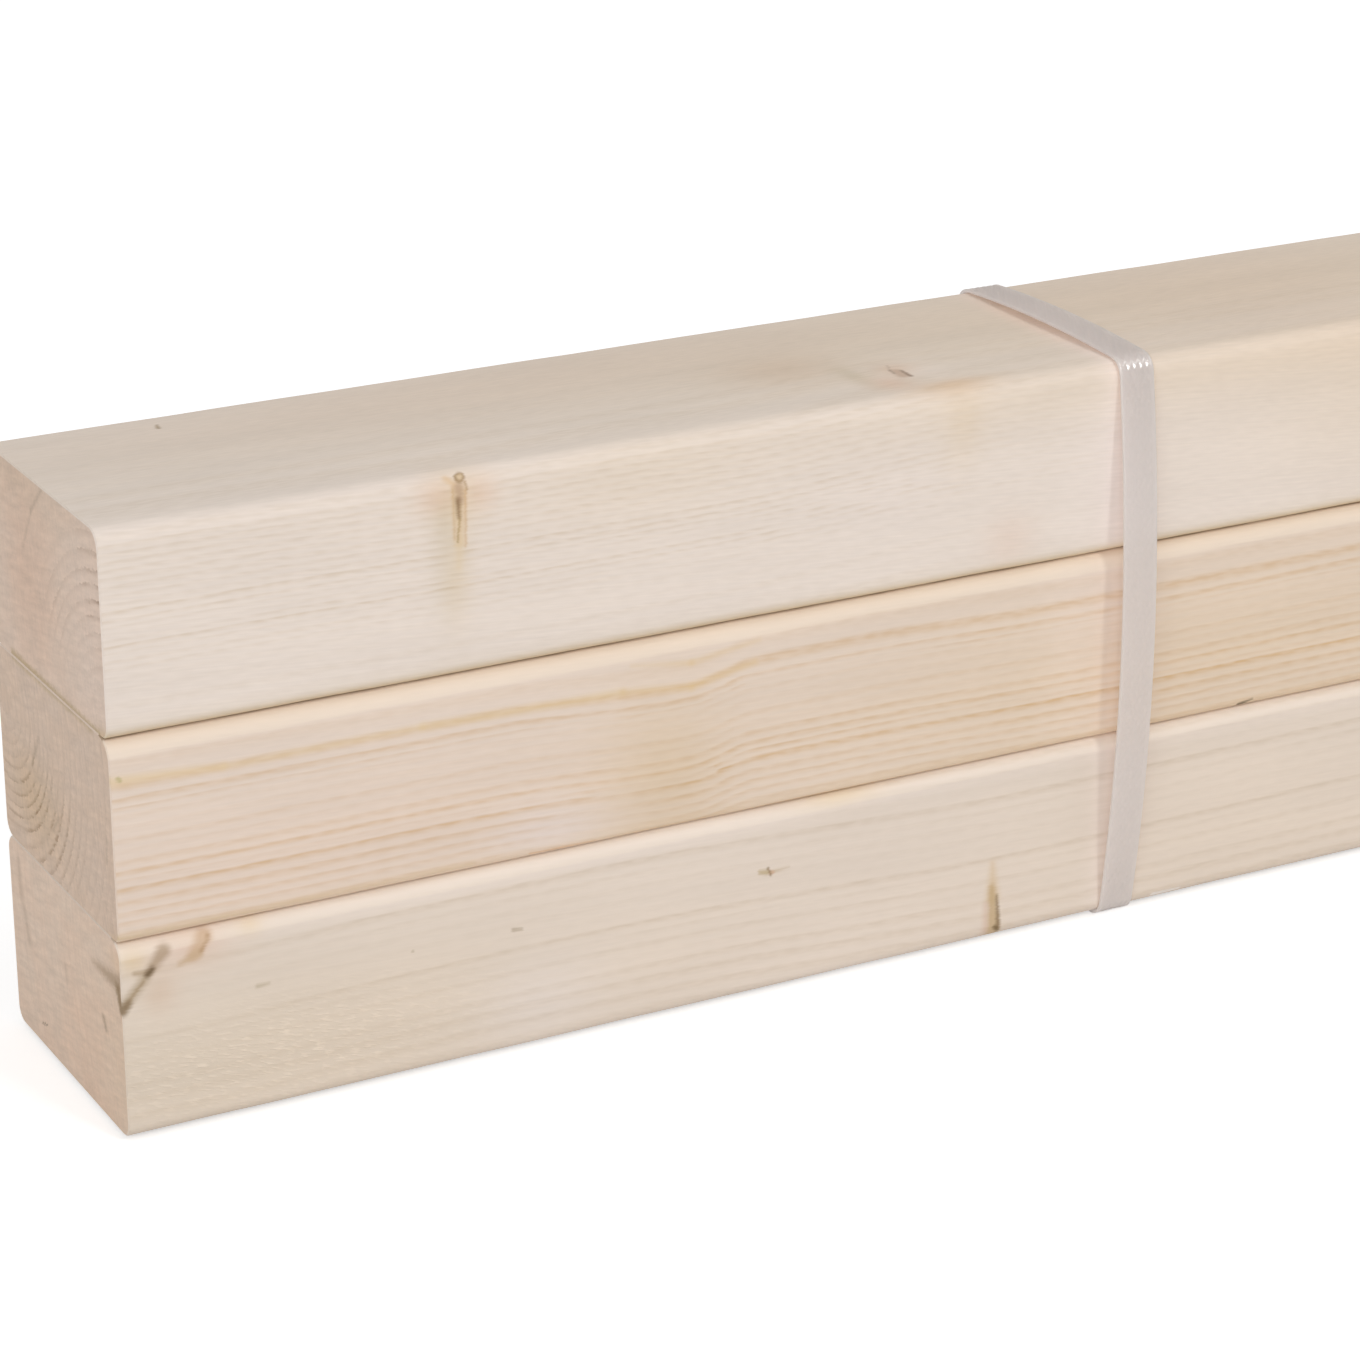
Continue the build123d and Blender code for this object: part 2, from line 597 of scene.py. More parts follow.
def streak_group() -> bpy.types.NodeTree:
    """Makes the node group that inks one soft-edged, tapering streak over the wood's colour.

    Returns:
        The group, with the sockets that STREAK_SOCKETS names and the inked wood as its output.
    """
    group = bpy.data.node_groups.new("streak_in_wood", "ShaderNodeTree")
    for name, kind in STREAK_SOCKETS.items():
        group.interface.new_socket(name, in_out="INPUT", socket_type=kind)
    group.interface.new_socket("Wood", in_out="OUTPUT", socket_type="NodeSocketColor")
    add = partial(add_node, group)
    given = add("NodeGroupInput").node.outputs
    offset = add(VECTOR, {0: given["Place"], 1: given["Start"]}, operation="SUBTRACT")
    gone = add(VECTOR, {0: offset, 1: given["Run"]}, VECTOR_VALUE, operation="DOT_PRODUCT")
    length = add(VECTOR, {0: given["Run"], 1: given["Run"]}, VECTOR_VALUE, operation="DOT_PRODUCT")
    share = add(MATH, {0: gone, 1: length}, operation="DIVIDE", use_clamp=True)
    foot = add(VECTOR, {0: given["Run"], VECTOR_SCALE: share}, operation="SCALE")
    away = add(VECTOR, {0: offset, 1: foot}, VECTOR_VALUE, operation="DISTANCE")
    radius = add(MATH, {0: given["Taper"], 1: share, 2: given["Radius"]}, operation="MULTIPLY_ADD")
    depth = add(MATH, {0: radius, 1: away}, operation="SUBTRACT")
    depth = add(MATH, {0: depth, 1: given["Soft"]}, operation="DIVIDE")
    cover = add(RANGE, {0: depth, 1: -0.5, 2: 0.5, 4: given["Strength"]}, interpolation_type="SMOOTHSTEP")
    inked = add(MIX, {MIX_WEIGHT: cover, MIX_UNDER: given["Wood"], MIX_OVER: given["Ink"]}, MIX_RESULT,
                data_type="RGBA")
    add("NodeGroupOutput", {0: inked})
    return group


def ink_streaks(tree: bpy.types.NodeTree, ink: bpy.types.NodeTree, streaks: Sequence[Streak], place: Socket,
                wood: Socket) -> Socket:
    """Inks streaks over the wood's colour, one after another.

    Args:
        tree: The material's node tree.
        ink: The node group that inks one streak.
        streaks: The streaks, the lowest first.
        place: The place in the batten.
        wood: The colour so far.

    Returns:
        The colour with the streaks.
    """
    for streak in streaks:
        run = tuple(b - a for a, b in zip(streak.start, streak.end))
        values = {"Place": place, "Start": streak.start, "Run": run, "Radius": streak.radius,
                  "Taper": streak.end_radius - streak.radius, "Soft": streak.soft,
                  "Strength": streak.strength, "Ink": linear(streak.ink), "Wood": wood}
        wood = add_node(tree, "ShaderNodeGroup", values, node_tree=ink)
    return wood


class Finish(IntEnum):
    """The places of a batten's materials in its mesh."""

    PLAIN = 0
    STREAKED = 1
    KNOTTED = 2
    SAWN = 3


@dataclass
class Batten:
    """A planed batten with rounded long edges and sawn ends."""

    node: str
    rings: GrowthRings
    end_rings: GrowthRings
    planed: PlanedSpruce
    sawn: SawnSpruce
    top_front: float
    low_front: float
    top_back: float
    low_back: float
    clear: float
    end_clear: float
    clear_spots: tuple[Spot, ...] = ()
    end_clear_spots: tuple[Spot, ...] = ()
    worn_spots: tuple[Spot, ...] = ()
    torn_spots: tuple[Spot, ...] = ()
    stains: tuple[StainAndPaintedLight, ...] = ()
    end_stains: tuple[StainAndPaintedLight, ...] = ()
    streaks: tuple[Streak, ...] = ()
    end_streaks: tuple[Streak, ...] = ()
    knots: tuple[Knot, ...] = ()
    knot_heart: tuple[float, float] = (30.0, 20.0)
    knot_climb: float = 14.0
    knot_run: float = 1.6
    knot_free: float = 25.0
    knot_swirl: float = 1.6
    knot_swirl_reach: float = 6.0
    knot_reach: float = 2.5
    far_stain_sets: int = 5
    far_stain_gap: float = 60.0
    far_stain_reach: tuple[Place, Place] = ((20.0, 8.0, 8.0), (90.0, 20.0, 20.0))
    far_stain_strength: tuple[float, float] = (0.2, 0.6)
    seed: int = 1
    streak_margin: float = 1.0
    edge_waver: float = 0.05
    edge_waver_period: float = 47.0
    sharp_angle: float = 30.0
    rim: float = 0.25
    near_stretch: float = 300.0
    near_step: float = 1.25
    far_step: float = 6.0
    across_steps: int = 30
    up_steps: int = 26
    corner_steps: int = 3

    def __post_init__(self) -> None:
        """Takes the batten's place and size from the frame."""
        low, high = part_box(self.node)
        self.origin: Place = tuple(METRE * c for c in low)
        self.length, self.width, self.height = (METRE * (b - a) for a, b in zip(low, high))

    def stations(self) -> np.ndarray:
        """The places along the batten where its section is laid, closer together near its near end."""
        near = np.arange(self.near_step, self.near_stretch, self.near_step)
        far = np.arange(self.near_stretch, self.length - self.far_step / 2, self.far_step)
        return np.concatenate(([0, self.rim], near, far, [self.length - self.rim, self.length]))

    def side(self, span: float, first: np.ndarray, last: np.ndarray,
             steps: int) -> tuple[np.ndarray, np.ndarray]:
        """One side of the section, from the middle of its first rounding to the middle of its last.

        Args:
            span: The side's length from face to face.
            first: The first rounding's radius at each station.
            last: The last rounding's radius at each station.
            steps: The number of steps.

        Returns:
            The distance along the side and the depth below its face, each station in a row.
        """
        turn = np.radians(np.linspace(45, 0, self.corner_steps + 1))
        lead, sink = 1 - np.sin(turn), 1 - np.cos(turn)
        first, last = first[:, None], last[:, None]
        flat = np.linspace(0, 1, steps - 2 * self.corner_steps + 1)[1:-1]
        run = (first * lead, first + (span - first - last) * flat, span - last * lead[::-1])
        depth = (first * sink, 0 * first * flat, last * sink[::-1])
        return np.concatenate(run, axis=1), np.concatenate(depth, axis=1)

    def outline(self, stations: np.ndarray) -> np.ndarray:
        """The section's outline at each station: underside, back, top and front, as (inward, up).

        Args:
            stations: The places along the batten.

        Returns:
            An array of stations by points by two.
        """
        inset = np.where((stations == 0) | (stations == self.length), self.rim, 0.0)
        radii = []
        corners = ((self.low_front, (0, 0)), (self.low_back, (self.width, 0)),
                   (self.top_back, (self.width, self.height)), (self.top_front, (0, self.height)))
        for number, (radius, (inward, up)) in enumerate(corners):
            edge = np.stack((stations, np.full_like(stations, inward), np.full_like(stations, up)), axis=1)
            waver = 1 + self.edge_waver * slow_wave(stations, self.edge_waver_period, self.seed + number)
            radii.append(radius * waver + total(self.worn_spots, edge))
        low_front, low_back, top_back, top_front = radii
        bottom, bottom_depth = self.side(self.width, low_front, low_back, self.across_steps)
        back, back_depth = self.side(self.height, low_back, top_back, self.up_steps)
        top, top_depth = self.side(self.width, top_back, top_front, self.across_steps)
        front, front_depth = self.side(self.height, top_front, low_front, self.up_steps)
        inward = (bottom, self.width - back_depth, self.width - top, front_depth)
        up = (bottom_depth, back, self.height - top_depth, self.height - front)
        points = np.stack((np.concatenate([side[:, :-1] for side in inward], axis=1),
                           np.concatenate([side[:, :-1] for side in up], axis=1)), axis=2)
        middle = np.array((self.width, self.height)) / 2
        shrink = 1 - inset[:, None, None] / middle
        return middle + (points - middle) * shrink

    def end_grid(self, outline: np.ndarray) -> np.ndarray:
        """Fills a sawn end with a grid that meets the section's outline.

        Args:
            outline: The outline at that end.

        Returns:
            An array of steps across by steps up by two.
        """
        across, up = self.across_steps, self.up_steps
        loop = np.concatenate((outline, outline[:1]))
        bottom, back = loop[:across + 1], loop[across:across + up + 1]
        top = loop[across + up:2 * across + up + 1][::-1]
        front = loop[2 * across + up:][::-1]
        s, t = np.linspace(0, 1, across + 1)[:, None, None], np.linspace(0, 1, up + 1)[None, :, None]
        sides = (1 - t) * bottom[:, None] + t * top[:, None] + (1 - s) * front[None] + s * back[None]
        corners = ((1 - s) * (1 - t) * bottom[0] + s * (1 - t) * bottom[-1]
                   + (1 - s) * t * top[0] + s * t * top[-1])
        return sides - corners

    def grid_numbers(self, ring_start: int, inner_start: int) -> np.ndarray:
        """The vertex numbers of an end's grid.

        Args:
            ring_start: The first vertex of the outline at that end.
            inner_start: The first vertex inside that end.

        Returns:
            An array of steps across by steps up.
        """
        across, up = self.across_steps, self.up_steps
        numbers = np.zeros((across + 1, up + 1), int)
        inner = np.arange((across - 1) * (up - 1)).reshape(across - 1, up - 1)
        numbers[1:-1, 1:-1] = inner_start + inner
        loop = ring_start + np.append(np.arange(2 * (across + up)), 0)
        numbers[:, 0], numbers[-1, :] = loop[:across + 1], loop[across:across + up + 1]
        numbers[:, -1] = loop[across + up:2 * across + up + 1][::-1]
        numbers[0, :] = loop[2 * across + up:][::-1]
        return numbers

    def growth(self, places: np.ndarray, ends: np.ndarray) -> tuple[np.ndarray, np.ndarray]:
        """What the wood is like at each place.

        Args:
            places: The places.
            ends: Which of them lie on a sawn end.

        Returns:
            The ring number, its clearness and the distance to the nearest knot's side, then the stain with
            its painted highlights and painted shade, with how torn the grain is as its alpha.
        """
        knot = np.full(len(places), self.knot_free)
        for branch in self.knots:
            heart = np.array((branch.face[0] - self.knot_climb, *self.knot_heart))
            run = np.array(branch.face) - heart
            share = np.clip((places - heart) @ run / (run @ run), 0, self.knot_run)
            away = np.linalg.norm(places - heart - share[:, None] * run, axis=1)
            knot = np.minimum(knot, away - branch.radius * share)
        ring, shows = self.rings.number(places)
        ring[ends], shows[ends] = self.end_rings.number(places[ends])
        swirl = self.knot_swirl * np.exp(-np.maximum(knot, 0) / self.knot_swirl_reach)
        ring = ring - swirl - LINE_LEAD
        clear = shows * np.where(ends, self.end_clear + total(self.end_clear_spots, places),
                                 self.clear + total(self.clear_spots, places))
        stain = np.ones((len(places), 4))
        for one in (*self.stains, *self.far_stains()):
            stain[:, :3] *= one.tint(places)
        for one in self.end_stains:
            stain[ends, :3] *= one.tint(places[ends])
        stain[:, 3] = np.clip(total(self.torn_spots, places), 0, 1)
        return np.stack((ring, clear, knot), axis=1), stain

    def streaked(self, corners: np.ndarray) -> np.ndarray:
        """Tells which faces a streak may touch.

        Args:
            corners: The places of each face's corners.

        Returns:
            One truth value for each face.
        """
        low, high = corners.min(axis=1), corners.max(axis=1)
        touched = np.zeros(len(corners), bool)
        for streak in self.streaks:
            ends = np.array((streak.start, streak.end))
            reach = max(streak.radius, streak.end_radius) + streak.soft / 2 + self.streak_margin
            touched |= np.all((low <= ends.max(axis=0) + reach) & (high >= ends.min(axis=0) - reach), axis=1)
        return touched

    def far_stains(self) -> list[StainAndPaintedLight]:
        """Chance stains on the length beyond the photograph's edge."""
        chance = np.random.default_rng(self.seed)
        nearest = (self.near_stretch + self.far_stain_gap, 0, 0)
        farthest = (self.length, self.width, self.height)
        stains = []
        for tone in list(Tone) * self.far_stain_sets:
            centre = chance.uniform(nearest, farthest)
            reach = chance.uniform(*self.far_stain_reach)
            strength = chance.uniform(*self.far_stain_strength)
            stains.append(StainAndPaintedLight(tone, Spot(tuple(centre), tuple(reach), strength)))
        return stains

    def build(self, ink: bpy.types.NodeTree) -> bpy.types.Object:
        """Lofts the batten, dresses it and lets it stand for its CAD node.

        Args:
            ink: The node group that inks a streak.

        Returns:
            The batten's object.
        """
        stations = self.stations()
        outline = self.outline(stations)
        count, round_count = outline.shape[:2]
        along = np.repeat(stations, round_count)[:, None]
        skin = np.concatenate((along, outline.reshape(-1, 2)), axis=1)
        near, far = (self.end_grid(outline[k])[1:-1, 1:-1].reshape(-1, 2) for k in (0, -1))
        near = np.insert(near, 0, 0.0, axis=1)
        far = np.insert(far, 0, self.length, axis=1)
        places = np.concatenate((skin, near, far))

        ring = np.arange(round_count)
        lower = (np.arange(count - 1) * round_count)[:, None] + ring
        turned = (np.arange(count - 1) * round_count)[:, None] + np.roll(ring, -1)
        sides = np.stack((lower, turned, turned + round_count, lower + round_count), axis=2).reshape(-1, 4)
        caps = []
        starts = ((0, len(skin), 1), ((count - 1) * round_count, len(skin) + len(near), -1))
        for ring_start, inner_start, way in starts:
            grid = self.grid_numbers(ring_start, inner_start)
            quads = np.stack((grid[:-1, :-1], grid[:-1, 1:], grid[1:, 1:], grid[1:, :-1]), axis=2)
            caps.append(quads.reshape(-1, 4)[:, ::way])
        faces = np.concatenate((sides, *caps))
        ends = (places[:, 0] == 0) | (places[:, 0] == self.length)
        growth, stain = self.growth(places, ends)

        mesh = bpy.data.meshes.new(self.node)
        mesh.from_pydata((places + np.array(self.origin)) / METRE, [], faces)
        finishes = {
            Finish.PLAIN: self.planed.material(self.origin),
            Finish.STREAKED: self.planed.material(self.origin, self.streaks, ink),
            Finish.KNOTTED: self.planed.material(self.origin, knotted=True),
            Finish.SAWN: self.sawn.material(self.origin, self.end_streaks, ink),
        }
        for place in sorted(finishes):
            mesh.materials.append(finishes[place])
        sawn = np.arange(len(faces)) >= len(sides)
        knotted = np.min(growth[faces, 2], axis=1) < self.knot_reach
        chosen = np.select((sawn, self.streaked(places[faces]), knotted),
                           (Finish.SAWN, Finish.STREAKED, Finish.KNOTTED), Finish.PLAIN)
        mesh.polygons.foreach_set("material_index", chosen)
        mesh.polygons.foreach_set("use_smooth", np.ones(len(faces), bool))
        mesh.set_sharp_from_angle(angle=math.radians(self.sharp_angle))
        mesh.attributes.new("growth", "FLOAT_VECTOR", "POINT").data.foreach_set("vector", growth.ravel())
        mesh.attributes.new("stain", "FLOAT_COLOR", "POINT").data.foreach_set("color", stain.ravel())
        piece = bpy.data.objects.new(f"planed_{self.node}", mesh)
        bpy.context.scene.collection.objects.link(piece)
        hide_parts(self.node)
        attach(piece, BODY)
        return piece


@dataclass
class Strap:
    """A flat embossed band, drawn once round the stack, with its ends lapped and welded at the back."""

    node: str
    finish: StrapPolypropylene
    stack_width: float
    stack_height: float
    stack_middle: tuple[float, float]
    wood_radius: float = 3.0
    thickness: float = 0.65
    clearance: float = 0.2
    top_slack: float = 0.95
    front_slack: float = 4.3
    lap: float = 30.0
    ramp: float = 5.0
    ramp_points: int = 12
    step: float = 0.4
    profile_points: int = 72
    rounding: float = 0.18
    emboss_along: float = 2.6
    emboss_across: float = 1.5
    emboss_depth: float = 0.16
    emboss_margin: float = 0.7

    def __post_init__(self) -> None:
        """Takes the strap's place and width from the frame."""
        low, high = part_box(self.node)
        self.place = METRE * (low[0] + high[0]) / 2
        self.width = METRE * (high[0] - low[0])

    def arc(self, centre: tuple[float, float], radius: float, start: float, end: float) -> np.ndarray:
        """Points along an arc, with angles in degrees from +Y towards +Z."""
        turn = math.radians(end - start)
        angles = np.radians(start) + turn * np.linspace(0, 1, 2 + int(abs(turn) * radius / self.step))
        across, up = centre
        return np.stack((across + radius * np.cos(angles), up + radius * np.sin(angles)), axis=1)

    def path(self) -> np.ndarray:
        """The middle line of the band, from its outer tail once round to the end beneath.

        Returns:
            An array of points as (across, up) from the stack's middle.
        """
        radius = self.wood_radius + self.clearance + self.thickness / 2
        side = self.stack_width / 2 - self.wood_radius
        rise = self.stack_height / 2 - self.wood_radius
        turns = ((side, rise), (-side, rise), (-side, -rise), (side, -rise))
        slacks = (0.0, self.top_slack, self.front_slack, 0.0)
        spans = (rise, side, rise, side)
        leans, bow_radii = [], []
        for slack, span in zip(slacks, spans):
            past_turn = (span**2 + slack**2) / (2 * slack) if slack else math.inf
            bow_radii.append(past_turn + radius)
            leans.append(math.degrees(math.asin(span / past_turn)))
        inner = side + radius
        outer = inner + self.thickness
        lap_ramp = np.linspace(0, 1, self.ramp_points)
        blend = ease(lap_ramp, 0, 1)
        stretches = [
            np.array(((outer, -self.lap / 2), (outer, self.lap / 2))),
            np.stack((outer + (inner - outer) * blend, self.lap / 2 + self.ramp * lap_ramp), axis=1),
        ]
        for number, turn in enumerate(turns):
            following = (number + 1) % len(turns)
            direction = 90 * number
            lean_in, lean_out = leans[number], leans[following]
            stretches.append(self.arc(turn, radius, direction + lean_in, direction + 90 - lean_out))
            if slacks[following]:
                bow = bow_radii[following]
                facing = math.radians(direction + 90)
                clear = (spans[number] + radius + slacks[following]) - bow
                centre = (clear * math.cos(facing), clear * math.sin(facing))
                stretches.append(self.arc(centre, bow, direction + 90 - lean_out, direction + 90 + lean_out))
        stretches.append(np.array(((inner, -rise), (inner, self.lap / 2))))
        points = np.concatenate(stretches)
        kept = np.append(True, np.linalg.norm(np.diff(points, axis=0), axis=1) > self.step / 20)
        return points[kept]

    def band_tree(self) -> bpy.types.NodeTree:
        """Makes the Geometry Nodes tree that lays an embossed band along a curve.

        Returns:
            The tree, with the band's sizes as named inputs in metres.
        """
        tree = bpy.data.node_groups.new("embossed_band", "GeometryNodeTree")
        tree.interface.new_socket("Geometry", in_out="INPUT", socket_type="NodeSocketGeometry")
        for name in ("Width", "Thickness", "Rounding", "Step", "Emboss Along", "Emboss Across",
                     "Emboss Depth", "Plain Half Width"):
            tree.interface.new_socket(name, in_out="INPUT", socket_type="NodeSocketFloat")
        tree.interface.new_socket("Profile Points", in_out="INPUT", socket_type="NodeSocketInt")
        tree.interface.new_socket("Middle", in_out="INPUT", socket_type="NodeSocketVector")
        tree.interface.new_socket("Material", in_out="INPUT", socket_type="NodeSocketMaterial")
        tree.interface.new_socket("Geometry", in_out="OUTPUT", socket_type="NodeSocketGeometry")
        add = partial(add_node, tree)
        given = add("NodeGroupInput").node.outputs

        # The band: a rounded flat profile carried along the path
        path = add("GeometryNodeResampleCurve", {0: given["Geometry"], 3: given["Step"]}, mode="LENGTH")
        run = add("GeometryNodeSplineParameter", output="Length")
        path = add("GeometryNodeStoreNamedAttribute", {0: path, 2: "along", 3: run}, data_type="FLOAT",
                   domain="POINT")
        path = add("GeometryNodeSetCurveNormal", {0: path, 2: (1.0, 0.0, 0.0)}, mode="FREE")
        profile = add("GeometryNodeCurvePrimitiveQuadrilateral", {0: given["Width"], 1: given["Thickness"]})
        profile = add("GeometryNodeFilletCurve", {0: profile, 1: FILLET_STEPS, 2: given["Rounding"]},
                      mode="POLY")
        profile = add("GeometryNodeResampleCurve", {0: profile, 2: given["Profile Points"]}, mode="COUNT")
        band = add("GeometryNodeCurveToMesh", {0: path, 1: profile, 3: True})

        # Embossing: diamonds pressed into the outer side, between plain margins
        place = add("GeometryNodeInputPosition")
        facing = add("GeometryNodeInputNormal")
        outward = add(VECTOR, {0: place, 1: given["Middle"]}, operation="SUBTRACT")
        outer = add(VECTOR, {0: facing, 1: outward}, VECTOR_VALUE, operation="DOT_PRODUCT")
        outer = add(MATH, {0: outer, 1: 0.0}, operation="GREATER_THAN")
        sideways = add("ShaderNodeSeparateXYZ", {0: outward})
        margin = add(MATH, {0: sideways}, operation="ABSOLUTE")
        margin = add(MATH, {0: margin, 1: given["Plain Half Width"]}, operation="LESS_THAN")
        along = add("GeometryNodeInputNamedAttribute", {0: "along"}, data_type="FLOAT")
        lengthwise = add(MATH, {0: along, 1: given["Emboss Along"]}, operation="DIVIDE")
        crosswise = add(MATH, {0: sideways, 1: given["Emboss Across"]}, operation="DIVIDE")
        ridges = []
        for slant in ("ADD", "SUBTRACT"):
            wave = add(MATH, {0: lengthwise, 1: crosswise}, operation=slant)
            wave = add(MATH, {0: wave, 1: math.pi}, operation="MULTIPLY")
            wave = add(MATH, {0: wave}, operation="SINE")
            ridges.append(add(MATH, {0: wave}, operation="ABSOLUTE"))
        hollow = add(MATH, {0: ridges[0], 1: ridges[1]}, operation="MINIMUM")
        for share in (outer, margin, given["Emboss Depth"], -1.0):
            hollow = add(MATH, {0: hollow, 1: share}, operation="MULTIPLY")
        shift = add(VECTOR, {0: facing, VECTOR_SCALE: hollow}, operation="SCALE")
        band = add("GeometryNodeSetPosition", {0: band, 3: shift})
        band = add("GeometryNodeSetShadeSmooth", {0: band})
        band = add("GeometryNodeRealizeInstances", {0: band})
        band = add("GeometryNodeSetMaterial", {0: band, 2: given["Material"]})
        add("NodeGroupOutput", {0: band})
        return tree

    def build(self, tree: bpy.types.NodeTree) -> bpy.types.Object:
        """Lays the band along its path, dresses it and lets it stand for its CAD node.

        Args:
            tree: The Geometry Nodes tree of the band.

        Returns:
            The strap's object.
        """
        path = self.path()
        across, up = self.stack_middle
        points = np.stack((np.full(len(path), self.place), path[:, 0] + across, path[:, 1] + up,
                           np.full(len(path), METRE)), axis=1) / METRE
        curve = bpy.data.curves.new(f"{self.node}_path", "CURVE")
        curve.dimensions = "3D"
        spline = curve.splines.new("POLY")
        spline.points.add(len(points) - 1)
        spline.points.foreach_set("co", points.ravel())
        carrier = bpy.data.objects.new(f"{self.node}_path", curve)
        bpy.context.scene.collection.objects.link(carrier)
        modifier = carrier.modifiers.new("band", "NODES")
        modifier.node_group = tree
        values = {
            "Width": self.width, "Thickness": self.thickness, "Rounding": self.rounding, "Step": self.step,
            "Emboss Along": self.emboss_along, "Emboss Across": self.emboss_across,
            "Emboss Depth": self.emboss_depth, "Plain Half Width": self.width / 2 - self.emboss_margin,
        }
        values = {name: value / METRE for name, value in values.items()}
        values["Profile Points"] = self.profile_points
        values["Middle"] = (self.place / METRE, across / METRE, up / METRE)
        values["Material"] = self.finish.material()
        for socket in tree.interface.items_tree:
            if socket.in_out == "INPUT" and socket.name in values:
                modifier[socket.identifier] = values[socket.name]
        evaluated = carrier.evaluated_get(bpy.context.evaluated_depsgraph_get())
        mesh = bpy.data.meshes.new_from_object(evaluated)
        carrier.modifiers.remove(modifier)
        bpy.data.objects.remove(carrier)
        piece = bpy.data.objects.new(f"embossed_{self.node}", mesh)
        bpy.context.scene.collection.objects.link(piece)
        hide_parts(self.node)
        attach(piece, BODY)
        return piece


@dataclass(frozen=True)
class Lamp:
    """A soft square lamp that faces the near end of the bundle.

    Its azimuth is in degrees to the right of straight in front, and its height in degrees above level. Its
    level is the light on a surface that faces it, where 1 shows a colour as it is written.
    """

    name: str
    azimuth: float
    height: float
    distance: float
    width: float
    level: float


@dataclass
class Studio:
    """A white floor, a white surround, soft lamps and the photograph's camera. Lengths here are in metres."""

    eye: Place = (-1.23308, -0.6817, 0.35942)
    azimuth: float = 28.14
    dip: float = 21.23
    roll: float = -0.069
    lens: float = 109.316
    sensor: float = 36.0
    aim: Place = (-0.85, 0.0, 0.06)
    floor_size: float = 40.0
    floor_colour: str = "#E8E8E8"
    floor_glow: float = 0.5
    surround: float = 0.56
    lamps: tuple[Lamp, ...] = (
        Lamp("key", azimuth=17.0, height=40.0, distance=4.0, width=0.7, level=0.2),
        Lamp("kick", azimuth=62.0, height=52.0, distance=4.0, width=0.9, level=0.06),
        Lamp("fill", azimuth=-42.0, height=12.0, distance=3.5, width=3.0, level=0.345),
    )

    def build(self) -> None:
        """Sets up the stage, the light and the camera."""
        scene = bpy.context.scene
        scene.view_settings.view_transform = "Standard"
        self.lay_floor()
        self.light_surround()
        for lamp in self.lamps:
            self.hang(lamp)
        camera = bpy.data.cameras.new("camera")
        camera.lens = self.lens
        camera.sensor_width = self.sensor
        camera.clip_end = 2 * self.floor_size
        holder = bpy.data.objects.new("camera", camera)
        turned = (Matrix.Rotation(-math.radians(self.azimuth), 4, "Z")
                  @ Matrix.Rotation(math.radians(90 - self.dip), 4, "X")
                  @ Matrix.Rotation(math.radians(self.roll), 4, "Z"))
        holder.matrix_world = Matrix.Translation(self.eye) @ turned
        scene.collection.objects.link(holder)
        scene.camera = holder

    def seen_directly(self, tree: bpy.types.NodeTree) -> Socket:
        """A socket that is 1 where the camera, or a gloss or clear surface, looks straight at a thing."""
        add = partial(add_node, tree)
        rays = add("ShaderNodeLightPath").node.outputs
        seen = add(MATH, {0: rays["Is Camera Ray"], 1: rays["Is Glossy Ray"]}, operation="MAXIMUM")
        return add(MATH, {0: seen, 1: rays["Is Transmission Ray"]}, operation="MAXIMUM")

    def lay_floor(self) -> None:
        """Lays the floor, which looks white and keeps the bundle's shadow."""
        half = self.floor_size / 2
        corners = [(-half, -half, 0), (half, -half, 0), (half, half, 0), (-half, half, 0)]
        mesh = bpy.data.meshes.new("floor")
        mesh.from_pydata(corners, [], [(0, 1, 2, 3)])
        material = empty_material("white floor")
        add = partial(add_node, material.node_tree)
        seen = self.seen_directly(material.node_tree)
        glow = add(MATH, {0: seen, 1: self.floor_glow}, operation="MULTIPLY")
        finish = add("ShaderNodeBsdfPrincipled", {
            "Base Color": linear(self.floor_colour), "Roughness": 1.0, "Specular IOR Level": 0.0,
            "Emission Color": linear(WHITE), "Emission Strength": glow})
        add("ShaderNodeOutputMaterial", {0: finish})
        mesh.materials.append(material)
        floor = bpy.data.objects.new("floor", mesh)
        bpy.context.scene.collection.objects.link(floor)

    def light_surround(self) -> None:
        """Makes the surround: white to look at, and an even light on the bundle."""
        world = bpy.data.worlds.new("surround")
        world.use_nodes = True
        tree = world.node_tree
        tree.nodes.clear()
        add = partial(add_node, tree)
        seen = self.seen_directly(tree)
        strength = add(RANGE, {0: seen, 3: self.surround, 4: 1.0})
        sky = add("ShaderNodeBackground", {"Color": linear(WHITE), "Strength": strength})
        add("ShaderNodeOutputWorld", {0: sky})
        bpy.context.scene.world = world

    def hang(self, lamp: Lamp) -> None:
        """Hangs a lamp, turned towards the near end of the bundle.

        Args:
            lamp: The lamp.
        """
        light = bpy.data.lights.new(lamp.name, "AREA")
        light.size = lamp.width
        light.energy = lamp.level * math.pi**2 * lamp.distance**2
        holder = bpy.data.objects.new(lamp.name, light)
        turned = (Matrix.Rotation(math.radians(lamp.azimuth), 4, "Z")
                  @ Matrix.Rotation(math.radians(90 - lamp.height), 4, "X"))
        backed_off = Matrix.Translation((0, 0, lamp.distance))
        holder.matrix_world = Matrix.Translation(self.aim) @ turned @ backed_off
        bpy.context.scene.collection.objects.link(holder)


# Painted light: the wood beside and under the near strap is lightened, standing in for light that passes
# through the band into its shadow.
PAINTED_LIGHT_AT_STRAP = StainAndPaintedLight(Tone.UMBER, Spot((217.0, 10.0, 20.0), (4.0, 60.0, 60.0), -0.8))


